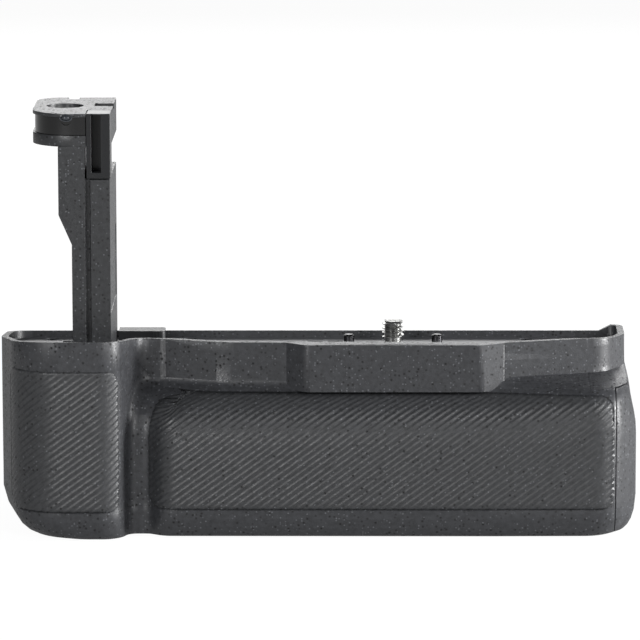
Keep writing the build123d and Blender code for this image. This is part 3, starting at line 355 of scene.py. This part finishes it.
def chain(points):
    """A bmesh with a chain of edges through the points, to be spun."""
    bm = bmesh.new()
    bmesh.ops.create_grid(bm, x_segments=len(points) - 1, y_segments=1, size=0.5)
    bmesh.ops.delete(bm, geom=[v for v in bm.verts if v.co.y > 0], context="VERTS")
    for v, point in zip(sorted(bm.verts, key=lambda v: v.co.x), points):
        v.co = point
    return bm


def add_box(bm, middle, size):
    """Adds a box to a bmesh and returns its vertices."""
    place = Matrix.Translation(middle) @ Matrix.Diagonal((*size, 1))
    return bmesh.ops.create_cube(bm, size=1.0, matrix=place)["verts"]


def hold_within(v, axis, limit):
    """Moves a vertex inwards to a radius round an upright axis, if it lies further out."""
    flat = Vector((v.co.x, v.co.y, 0)) - axis
    if flat.length > limit:
        flat = flat.normalized() * limit
        v.co = Vector((axis.x + flat.x, axis.y + flat.y, v.co.z))


def islands(bm):
    """The separate solids of a bmesh, each as a list of its vertices."""
    found, seen = [], set()
    for first in bm.verts:
        if first in seen:
            continue
        island, grow = [], [first]
        seen.add(first)
        while grow:
            v = grow.pop()
            island.append(v)
            fresh = [e.other_vert(v) for e in v.link_edges if e.other_vert(v) not in seen]
            seen.update(fresh)
            grow.extend(fresh)
        found.append(island)
    return found


def cut_away(context, bm, cutter):
    """The first bmesh less the second."""
    objects = []
    for part in (bm, cutter):
        mesh = bpy.data.meshes.new("cut")
        part.to_mesh(mesh)
        part.free()
        objects.append(bpy.data.objects.new("cut", mesh))
        context.scene.collection.objects.link(objects[-1])
    solid, tool = objects
    step = solid.modifiers.new("cut", "BOOLEAN")
    step.object, step.operation, step.solver, step.use_self = tool, "DIFFERENCE", "EXACT", True
    made = bpy.data.meshes.new_from_object(solid.evaluated_get(context.evaluated_depsgraph_get()))
    result = bmesh.new()
    result.from_mesh(made)
    bpy.data.meshes.remove(made)
    for each in objects:
        mesh = each.data
        bpy.data.objects.remove(each)
        bpy.data.meshes.remove(mesh)
    return result


class GRIP_OT_finishes(bpy.types.Operator):
    """Give every moulded, metal and electric piece of the grip its finish"""
    bl_idname = "grip.finishes"
    bl_label = "Finishes"

    def execute(self, context):
        tones = context.scene.grip_colours
        finishes = (
            # Matt dark grey, with flecks and painted glints that liven the large plain faces.
            (moulded_plastic("carbon_filled_polycarbonate", list(tones.housing), tones),
             ("main_housing", "end_frame", "tray_end_cap")),
            # The same plastic, a little darker and smoother, so that the stem stands off the housing.
            (moulded_plastic("carbon_filled_stem", list(tones.stem), tones, roughness=0.42),
             ("stem_frame", "stem_cover", "stem_head")),
            # Near black with soft wide highlights, as of a small smooth cap.
            (plain_plastic("polished_abs_cap", linear("#1e1f21"), roughness=0.3),
             ("contact_cap",)),
            # Plain satin grey without flecks, paler than the walls round it.
            (plain_plastic("moulded_abs_deck", list(tones.deck), roughness=0.42),
             ("top_deck", "base_plate")),
            # Black and mirror-like, and so the glossiest place on the object.
            (glossy_window("polished_polycarbonate", linear("#060607")),
             ("head_window",)),
            # Satin dark grey of pieces that slide or are pressed.
            (plain_plastic("moulded_abs_tray", linear("#2a2b2d")),
             ("battery_tray", "latch_knob", "deck_ledge")),
            # Smoother and darker, as the wrapped shell of a battery pack.
            (plain_plastic("moulded_abs_pack", linear("#232427"), roughness=0.35),
             ("front_pack", "rear_pack", "board_plugs")),
            # Almost black, dull bodies of electric parts.
            (plain_plastic("moulded_epoxy_black", linear("#17181a"), roughness=0.4),
             ("contact_block", "board_coils", "board_chips")),
            # Dark metal whose edges catch a thin line of light.
            (machined_metal("blackened_steel", linear("#3a3a3c"), roughness=0.35),
             ("locating_pins", "stem_screws", "board_screws", "screw_clip", "latch_bolt", "latch_screw")),
            # Bright, almost white metal with sharp reflections.
            (machined_metal("nickel_plated_steel", linear("#dcdcda"), roughness=0.16),
             ("screw_bush", "wave_washer")),
            # Dark satin metal with a soft sheen along its turned rim.
            (machined_metal("anodised_aluminium", linear("#45464a"), roughness=0.38),
             ("thumb_wheel",)),
            # Warm yellow metal, the only colour on the underside.
            (machined_metal("turned_brass", linear("#c9a45a"), roughness=0.25),
             ("tripod_socket",)),
            # Smooth deep yellow metal that marks the contacts.
            (machined_metal("gold_plated_contact", linear("#e0b560"), roughness=0.18),
             ("stem_contacts", "contact_blades")),
            # Pale, slightly dull metal of the drawn cans.
            (machined_metal("drawn_aluminium", linear("#c9cacc"), roughness=0.3),
             ("board_cans",)),
            # Dark green with faint bands.
            (board_laminate("glass_epoxy_board"), ("main_board",)),
            # Dark red and soft, so that the leads stand out inside.
            (plain_plastic("silicone_lead", linear("#6e1412"), roughness=0.4), ("power_leads",)),
            # Brownish black with the soft gloss of a film.
            (plain_plastic("black_polyimide_film", linear("#1d1712"), roughness=0.3), ("stem_flex",)),
        )
        for material, nodes in finishes:
            for node in nodes:
                dress(node, material)
        return {"FINISHED"}


class GRIP_OT_edges(bpy.types.Operator):
    """Round the sharp edges of the moulded pieces, as their mould does"""
    bl_idname = "grip.edges"
    bl_label = "Moulded edges"

    def execute(self, context):
        sharp = math.radians(40)
        # Widths in millimetres: the outer shells have larger roundings than the small pieces.
        rounds = {
            0.3: ("main_housing", "end_frame", "tray_end_cap", "stem_head", "deck_ledge"),
            0.2: ("stem_frame", "stem_cover", "contact_cap", "latch_knob", "locating_pins"),
        }
        for width, nodes in rounds.items():
            for node in nodes:
                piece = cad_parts[node]
                weld = piece.modifiers.new("weld", "WELD")
                weld.merge_threshold = MERGE
                bevel = piece.modifiers.new("round", "BEVEL")
                bevel.width, bevel.segments = width * MM, 2
                bevel.limit_method, bevel.angle_limit = "ANGLE", sharp
                bevel.harden_normals = False
        return {"FINISHED"}


def front_line(level):
    """Points of the housing's outer line at one height, from its left side along the front to the end cap."""
    column = 0.05 * MM
    last_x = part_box("main_housing")[1][0] - column
    bm = merged_copy("main_housing")
    slice_off(bm, (0, 0, level), UP, clear_inner=True)
    at = min(bm.verts, key=lambda v: (round(v.co.x / column), v.co.y))
    points, seen = [], set()
    while at is not None:
        points.append(at.co.copy())
        seen.add(at)
        onward = [e.other_vert(at) for e in at.link_edges if e.other_vert(at) not in seen]
        # Of the two ways from the first point, the one towards the front is taken.
        onward.sort(key=lambda v: v.co.y if len(points) == 1 else 0)
        at = onward[0] if onward and points[-1].x < last_x else None
    bm.free()
    return points


class Line:
    """A polyline in plan that is read by the distance along it."""

    def __init__(self, points):
        self.points = points
        self.along = [0.0]
        for a, b in zip(points, points[1:]):
            self.along.append(self.along[-1] + (b - a).length)

    def point(self, distance):
        k = min(max(bisect.bisect_left(self.along, distance) - 1, 0), len(self.points) - 2)
        span = self.along[k + 1] - self.along[k]
        return self.points[k].lerp(self.points[k + 1], (distance - self.along[k]) / span if span else 0)

    def outward(self, distance):
        """Outward direction, averaged over a short stretch."""
        reach = 0.9 * MM
        step = self.point(distance + reach) - self.point(distance - reach)
        return Vector((step.y, -step.x, 0)).normalized()

    def where_x(self, x):
        """Distance at which the line first reaches X, past its left side."""
        return next((d for d, p in zip(self.along, self.points) if p.x >= x), self.along[-1])


class Chart:
    """Distances up the front of the housing, from a foot level, at every millimetre along it and upwards."""

    def __init__(self, surface, line, start, end, foot, top):
        self.surface, self.line, self.start, self.foot = surface, line, start, foot
        self.columns = int((end - start) / MM) + 2
        self.rows = int((top - foot) / MM) + 2
        self.table = []
        for i in range(self.columns):
            heights, last = [0.0], self.hit(start + i * MM, foot)[0]
            for j in range(1, self.rows):
                here = self.hit(start + i * MM, foot + j * MM)[0]
                heights.append(heights[-1] + (here - last).length)
                last = here
            self.table.append(heights)

    def hit(self, along, level):
        """Point of the housing's surface and its normal, looked for from just outside the line."""
        outside, reach = 1.2 * MM, 20 * MM
        spot, out = self.line.point(along), self.line.outward(along)
        begin = Vector((spot.x, spot.y, level)) + out * outside
        place, normal, _, _ = self.surface.ray_cast(begin, -out, reach)
        if place is None:
            return Vector((spot.x, spot.y, level)), out
        return place, normal if normal.dot(out) > 0 else -normal

    def up(self, along, level):
        """Distance up the surface from the foot, between the places in the table."""
        # The limits stay a hair under the last place, so that the next one up is still in the table.
        a = min(max((along - self.start) / MM, 0), self.columns - 1.001)
        b = min(max((level - self.foot) / MM, 0), self.rows - 1.001)
        i, j = int(a), int(b)
        left = self.table[i][j] + (self.table[i][j + 1] - self.table[i][j]) * (b - j)
        right = self.table[i + 1][j] + (self.table[i + 1][j + 1] - self.table[i + 1][j]) * (b - j)
        return left + (right - left) * (a - i)


def ribbed_patch(sizes, line, surface, start, end, foot, top):
    """A closed sheet of slanting ribs on the housing, between two distances along the line and two levels."""
    steps, row_height, spare = 6, 0.8 * MM, 2 * MM
    bed = 0.02 * MM
    # A power above 1 makes the ribs narrower than their grooves, and notches cross each rib.
    sharpness, notch, notch_pitch = 2.6, 0.25, 1.6 * MM
    # Shares of the rib's height that are left at the upper edge and at the foot.
    top_share, foot_share, foot_fade = 0.15, 0.3, 0.4 * MM

    chart = Chart(surface, line, start, end, foot, top)
    slope = 1 / math.tan(sizes.rib_angle)
    pitch = sizes.rib_pitch / math.sin(sizes.rib_angle)
    lean = (max(heights[-1] for heights in chart.table) + spare) * slope
    columns = math.ceil((end - start + lean) / pitch) * steps
    rows = round((top - foot) / row_height)
    bm = bmesh.new()
    bmesh.ops.create_grid(bm, x_segments=columns, y_segments=rows, size=0.5)
    for v in bm.verts:
        begin = start - lean + (v.co.x + 0.5) * columns * pitch / steps
        along, level = begin, foot + (v.co.y + 0.5) * (top - foot)
        # The surface is longer than its height, so the place along the line is found in a few rounds.
        for _ in range(4):
            along = begin + chart.up(along, level) * slope
        v.co = Vector((along, level, 0))
    # The slanting sheet is cut upright at both ends, and each of its corners is rounded by three cuts.
    cuts = [((start, 0, 0), (-1, 0, 0)), ((end, 0, 0), (1, 0, 0))]
    corner = sizes.corner
    for x, side in ((start, -1), (end, 1)):
        for y, rise in ((foot, -1), (top, 1)):
            middle = Vector((x - side * corner, y - rise * corner, 0))
            for angle in map(math.radians, (15, 45, 75)):
                way = Vector((side * math.cos(angle), rise * math.sin(angle), 0))
                cuts.append((middle + way * corner, way))
    for place, way in cuts:
        slice_off(bm, place, way)
    # The flat sheet is raised by one unit, so that its two faces can be told apart while they are laid.
    raised = bmesh.ops.extrude_face_region(bm, geom=bm.faces[:])["geom"]
    bmesh.ops.translate(bm, verts=[g for g in raised if isinstance(g, bmesh.types.BMVert)], vec=UP)
    for v in bm.verts:
        along, level = v.co.x, v.co.y
        place, normal = chart.hit(along, level)
        if v.co.z < 0.5:
            v.co = place - normal * sizes.thickness
            continue
        up = chart.up(along, level)
        phase = (along - start + lean - up * slope) / pitch % 1.0
        ridge = max(0.0, math.sin(math.pi * phase)) ** sharpness
        serration = 1 - notch * (0.5 + 0.5 * math.cos(math.tau * up / notch_pitch))
        fade = min(1.0, (top - level) / sizes.fade + top_share, (level - foot) / foot_fade + foot_share)
        v.co = place + normal * (bed + sizes.rib_height * ridge * serration * fade)
    face_outwards(bm)
    for face in bm.faces:
        face.smooth = True
    return bm


class GRIP_OT_skin(bpy.types.Operator):
    """Lay the ribbed skin in its sunken panel over the front of the hand grip and over the belly"""
    bl_idname = "grip.skin"
    bl_label = "Grip skin"

    def execute(self, context):
        line_level, shortest = 22 * MM, 100 * MM
        sizes = context.scene.grip_skin
        line = Line(front_line(line_level))
        gap = sizes.edge_gap
        places = [line.where_x(x) for x in (
            sizes.panel_left + gap, sizes.valley_left, sizes.valley_right, sizes.panel_right - gap,
        )]
        if places[3] - places[0] < shortest:
            raise RuntimeError("the front line of the housing is broken")
        bm = merged_copy("main_housing")
        surface = BVHTree.FromBMesh(bm)
        bm.free()
        tones = context.scene.grip_colours
        # The housing's plastic with fewer flecks and painted glints, so that the ribs stay clear.
        material = moulded_plastic(
            "carbon_filled_ribbed_skin", list(tones.skin), tones, flecks=0.18, painted_glints=0.1,
        )
        foot = sizes.panel_foot + gap
        for name, start, end, top in (
            ("grip_skin", places[0], places[1], sizes.grip_top - gap),
            ("belly_skin", places[2], places[3], sizes.panel_top - gap),
        ):
            bm = ribbed_patch(sizes, line, surface, start, end, foot, top)
            new_piece(context, name, bm, material, "grip")
        return {"FINISHED"}


class GRIP_OT_screw(bpy.types.Operator):
    """Make the camera screw with its quarter-inch thread, slot, neck and foot"""
    bl_idname = "grip.screw"
    bl_label = "Camera screw"

    def execute(self, context):
        sizes = context.scene.grip_screw
        low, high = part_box("mount_screw")
        axis, tip = Vector(((low[0] + high[0]) / 2, (low[1] + high[1]) / 2, 0)), high[2]
        pitch, radius = sizes.thread_pitch, sizes.thread_radius
        root = radius - sizes.thread_depth
        turns, steps = math.ceil((tip - sizes.thread_foot) / pitch) + 2, 36

        # Radius and share of the pitch at each point of one turn: groove, flank, crest, flank and groove.
        shape = ((root, 0.0), (root, 0.12), (radius, 0.44), (radius, 0.56), (root, 0.88), (root, 1.0))
        begin = sizes.thread_foot - pitch
        bm = chain([axis + Vector((r, 0, begin + share * pitch)) for r, share in shape])
        bmesh.ops.spin(
            bm, geom=bm.verts[:] + bm.edges[:], cent=axis, axis=UP, dvec=(0, 0, pitch / steps),
            angle=math.tau * turns, steps=steps * turns, use_merge=False,
        )
        bmesh.ops.remove_doubles(bm, verts=bm.verts, dist=LEVEL)
        slice_off(bm, (0, 0, sizes.thread_foot), -UP)
        slice_off(bm, (0, 0, tip), UP)
        close_holes(bm)
        for v in bm.verts:
            hold_within(v, axis, radius - max(0.0, v.co.z - (tip - sizes.tip_chamfer)))
        face_outwards(bm)
        slot = bmesh.new()
        add_box(slot, (axis.x, axis.y, tip), (4 * radius, sizes.slot_width, 2 * sizes.slot_depth))
        thread = cut_away(context, bm, slot)

        # The plain foot of the CAD screw reaches a little into the thread, and its top is drawn in to the groove.
        overlap, neck = 0.05 * MM, 0.7 * MM
        bm = merged_copy("mount_screw")
        slice_off(bm, (0, 0, sizes.thread_foot + overlap), UP)
        close_holes(bm)
        for v in bm.verts:
            if v.co.z > sizes.thread_foot - neck:
                hold_within(v, axis, root)
        face_outwards(bm)
        mesh = bpy.data.meshes.new("thread")
        thread.to_mesh(mesh)
        thread.free()
        bm.from_mesh(mesh)
        bpy.data.meshes.remove(mesh)
        smooth_by_angle(bm)
        # Bright metal, rough enough that the thread shows as bands and not as points of light.
        material = machined_metal(
            "nickel_plated_screw", linear("#b4b4b2"), roughness=0.33, stretch=(1, 1, 1), streak=4,
        )
        screw = new_piece(context, "camera_screw", bm, material, "wheel")
        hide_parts("mount_screw")
        return {"FINISHED"}


class GRIP_OT_fasteners(bpy.types.Operator):
    """Make the small screws of the base, the deck and the end cap, with rounded heads and cross recesses"""
    bl_idname = "grip.fasteners"
    bl_label = "Small screws"

    def execute(self, context):
        sizes = context.scene.grip_screw
        # The cross spans a share of the head's width, and its arms narrow towards their foot. The head's rim is
        # where its faces meet at more than an angle in radians.
        cross_span, foot_share, head_round, rim_angle = 0.62, 0.55, 0.2 * MM, 1.0
        # Dark steel with a soft glint on the heads.
        material = machined_metal("blackened_screw_steel", linear("#37373a"), roughness=0.3)
        for place, up, body in (("deck", 1, "grip"), ("base", -1, "grip"), ("cap", -1, "tray")):
            bm = merged_copy(f"{place}_screws")
            head = max(v.co.z * up for v in bm.verts)
            rim = [
                e for e in bm.edges
                if all(v.co.z * up > head - LEVEL for v in e.verts) and e.calc_face_angle(0) > rim_angle
            ]
            bmesh.ops.bevel(
                bm, geom=rim, offset=head_round, segments=3, profile=0.5, affect="EDGES", material=-1,
                offset_type="OFFSET",
            )
            cutter = bmesh.new()
            for island in islands(bm):
                xs, ys = [v.co.x for v in island], [v.co.y for v in island]
                middle = Vector(((min(xs) + max(xs)) / 2, (min(ys) + max(ys)) / 2, head * up))
                span = (max(xs) - min(xs)) * cross_span
                for size in ((span, sizes.cross_width), (sizes.cross_width, span)):
                    arm = add_box(cutter, middle, (*size, 2 * sizes.cross_depth))
                    bmesh.ops.scale(
                        cutter, verts=[v for v in arm if (v.co.z - middle.z) * up < 0],
                        vec=(foot_share, foot_share, 1), space=Matrix.Translation(-middle),
                    )
            made = cut_away(context, bm, cutter)
            smooth_by_angle(made)
            piece = new_piece(context, f"{place}_crosshead_screws", made, material, body)
            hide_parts(f"{place}_screws")
        return {"FINISHED"}


class GRIP_OT_lens(bpy.types.Operator):
    """Set the small lens with its seat in the front of the head"""
    bl_idname = "grip.lens"
    bl_label = "Head lens"

    def execute(self, context):
        sizes = context.scene.grip_head
        radius = sizes.lens_radius
        middle = Vector((sizes.lens_x, sizes.lens_front, sizes.lens_z))
        # Half section of a seated lens, as shares of its radius: its dome, the groove round it, the seat's lip
        # and the back.
        shape = ((0.0, 0.05), (0.34, 0.1), (0.62, 0.3), (0.7, 0.5), (0.8, 0.16), (1.0, 0.2), (1.0, 0.68))
        bm = chain([middle + Vector((r * radius, depth * radius, 0)) for r, depth in shape])
        bmesh.ops.spin(
            bm, geom=bm.verts[:] + bm.edges[:], cent=middle, axis=(0, 1, 0), angle=math.tau, steps=32,
            use_merge=True,
        )
        bmesh.ops.remove_doubles(bm, verts=bm.verts, dist=MERGE)
        close_holes(bm)
        bmesh.ops.scale(
            bm, verts=bm.verts, vec=(sizes.lens_wide, 1, sizes.lens_high), space=Matrix.Translation(-middle),
        )
        face_outwards(bm)
        smooth_by_angle(bm)
        # Dark grey and polished, so that the dome shows one small highlight.
        material = glossy_window("polished_lens_polycarbonate", linear("#3a3d42"), smear=1.0)
        new_piece(context, "head_lens", bm, material, "grip")
        return {"FINISHED"}


class GRIP_OT_studio(bpy.types.Operator):
    """Set up the pale floor and backdrop, the softboxes and the camera"""
    bl_idname = "grip.studio"
    bl_label = "Studio"

    def execute(self, context):
        scene = context.scene
        scene.view_settings.view_transform = "Standard"
        self.set_backdrop(scene)
        self.set_world(scene)
        self.set_lamps(scene)
        self.set_camera(scene)
        return {"FINISHED"}

    def set_backdrop(self, scene):
        """A pale floor that bends up into a wall, with a glow that only the camera, mirrors and glass see."""
        half_floor, wall_height, bend_radius, sink = 3.0, 4, 1.2, 0.2 * MM
        glow_strength, glow_share, mirror_share = 1.27, 0.75, 0.3
        bm = bmesh.new()
        bmesh.ops.create_grid(bm, x_segments=1, y_segments=1, size=half_floor)
        far = [e for e in bm.edges if all(v.co.y > 0 for v in e.verts)]
        raised = bmesh.ops.extrude_edge_only(bm, edges=far)["geom"]
        top = [g for g in raised if isinstance(g, bmesh.types.BMVert)]
        bmesh.ops.translate(bm, verts=top, vec=(0, 0, wall_height))
        bend = [e for e in bm.edges if all(v.co.y > 0 and v.co.z < wall_height / 2 for v in e.verts)]
        bmesh.ops.bevel(
            bm, geom=bend, offset=bend_radius, segments=16, profile=0.5, affect="EDGES", material=-1,
            offset_type="OFFSET",
        )
        mesh = bpy.data.meshes.new("backdrop")
        bm.to_mesh(mesh)
        bm.free()
        mesh.shade_smooth()
        sweep = bpy.data.objects.new("backdrop", mesh)
        scene.collection.objects.link(sweep)
        sweep.location.z = -sink

        material = bpy.data.materials.new("painted_backdrop")
        material.use_nodes = True
        tree = material.node_tree
        tree.nodes.clear()
        paint = add(tree, "ShaderNodeBsdfDiffuse", {"Color": list(scene.grip_studio.backdrop)})
        glow = add(tree, "ShaderNodeEmission", {"Color": (1, 1, 1, 1), "Strength": glow_strength})
        ray = add(tree, "ShaderNodeLightPath")
        # Glossy rays see the backdrop at a third of its brightness, so that the rounded underside stays dark.
        mirrored = add(tree, "ShaderNodeMath", {
            0: ray.outputs["Is Glossy Ray"], 1: mirror_share,
        }, operation="MULTIPLY")
        seen = ray.outputs["Is Camera Ray"]
        for other in (mirrored.outputs[0], ray.outputs["Is Transmission Ray"]):
            seen = add(tree, "ShaderNodeMath", {0: seen, 1: other}, operation="MAXIMUM").outputs[0]
        # The painted part of the floor keeps the object's shadow.
        share = add(tree, "ShaderNodeMath", {0: seen, 1: glow_share}, operation="MULTIPLY")
        both = add(tree, "ShaderNodeMixShader", {
            0: share.outputs[0], 1: paint.outputs[0], 2: glow.outputs[0],
        })
        add(tree, "ShaderNodeOutputMaterial", {"Surface": both.outputs[0]})
        mesh.materials.append(material)

    def set_world(self, scene):
        """Faint fill light that the camera sees as white."""
        world = bpy.data.worlds.new("studio_air")
        scene.world = world
        world.use_nodes = True
        tree = world.node_tree
        tree.nodes.clear()
        ray = add(tree, "ShaderNodeLightPath")
        fill = add(tree, "ShaderNodeBackground", {"Color": (0.95, 0.97, 1.0, 1), "Strength": 0.09})
        white = add(tree, "ShaderNodeBackground", {"Color": (1, 1, 1, 1), "Strength": 1.0})
        both = add(tree, "ShaderNodeMixShader", {
            0: ray.outputs["Is Camera Ray"], 1: fill.outputs[0], 2: white.outputs[0],
        })
        add(tree, "ShaderNodeOutputWorld", {"Surface": both.outputs[0]})

    def set_lamps(self, scene):
        """Two softboxes in front, one at the right and one behind, all aimed at the middle of the housing."""
        studio = scene.grip_studio
        target = Vector((0, 0, 0.05))
        # Name, place and size in metres, and power.
        boxes = (
            ("softbox_left", (-0.5, -0.9, 0.4), (0.35, 0.3), studio.key_power),
            ("softbox_right", (0.6, -0.85, 0.4), (0.35, 0.3), studio.key_power),
            ("softbox_side", (1.1, -0.08, 0.22), (0.3, 0.5), studio.side_power),
            ("softbox_behind", (0.0, 1.2, 0.55), (1.6, 0.4), studio.back_power),
        )
        for name, place, size, power in boxes:
            lamp = bpy.data.lights.new(name, "AREA")
            lamp.shape = "RECTANGLE"
            lamp.size, lamp.size_y = size
            lamp.energy = power
            stand = bpy.data.objects.new(name, lamp)
            stand.location = place
            stand.rotation_euler = (target - Vector(place)).to_track_quat("-Z", "Y").to_euler()
            scene.collection.objects.link(stand)

    def set_camera(self, scene):
        """The photo's view: 640 pixels wide, with a focal length of 4200 pixels, from 1.2 m and 10 degrees up."""
        photo_width, focal_pixels, sensor_width = 640, 4200, 36
        target, distance, tilt = Vector((0, 0, 57.8 * MM)), 1.2, math.radians(10)
        lens = bpy.data.cameras.new("camera")
        lens.sensor_width = sensor_width
        lens.lens = sensor_width * focal_pixels / photo_width
        lens.clip_start, lens.clip_end = 0.05, 20
        camera = bpy.data.objects.new("camera", lens)
        back = Vector((0, -math.cos(tilt), math.sin(tilt)))
        camera.location = target + back * distance
        camera.rotation_euler = (-back).to_track_quat("-Z", "Y").to_euler()
        scene.collection.objects.link(camera)
        scene.camera = camera


class GRIP_PT_panel(bpy.types.Panel):
    bl_label = "Camera Battery Grip"
    bl_space_type = "VIEW_3D"
    bl_region_type = "UI"
    bl_category = "Grip"

    def draw(self, context):
        for name, group in GROUPS.items():
            settings = getattr(context.scene, name)
            for setting in group.__annotations__:
                self.layout.prop(settings, setting)
        for operator in OPERATORS:
            self.layout.operator(operator.bl_idname)


GROUPS = {
    "grip_skin": GripSkinSizes,
    "grip_screw": GripScrewSizes,
    "grip_head": GripHeadSizes,
    "grip_colours": GripColours,
    "grip_studio": StudioSettings,
}
OPERATORS = (
    GRIP_OT_finishes, GRIP_OT_edges, GRIP_OT_skin, GRIP_OT_screw, GRIP_OT_fasteners, GRIP_OT_lens, GRIP_OT_studio,
)


def register():
    for group in GROUPS.values():
        bpy.utils.register_class(group)
    for name, group in GROUPS.items():
        setattr(bpy.types.Scene, name, bpy.props.PointerProperty(type=group))
    for kind in (*OPERATORS, GRIP_PT_panel):
        bpy.utils.register_class(kind)


def unregister():
    for kind in (GRIP_PT_panel, *OPERATORS):
        bpy.utils.unregister_class(kind)
    for name, group in GROUPS.items():
        delattr(bpy.types.Scene, name)
        bpy.utils.unregister_class(group)


def main():
    register()
    bpy.ops.grip.finishes()
    bpy.ops.grip.edges()
    bpy.ops.grip.skin()
    bpy.ops.grip.screw()
    bpy.ops.grip.fasteners()
    bpy.ops.grip.lens()
    bpy.ops.grip.studio()


if __name__ == "__main__":
    main()
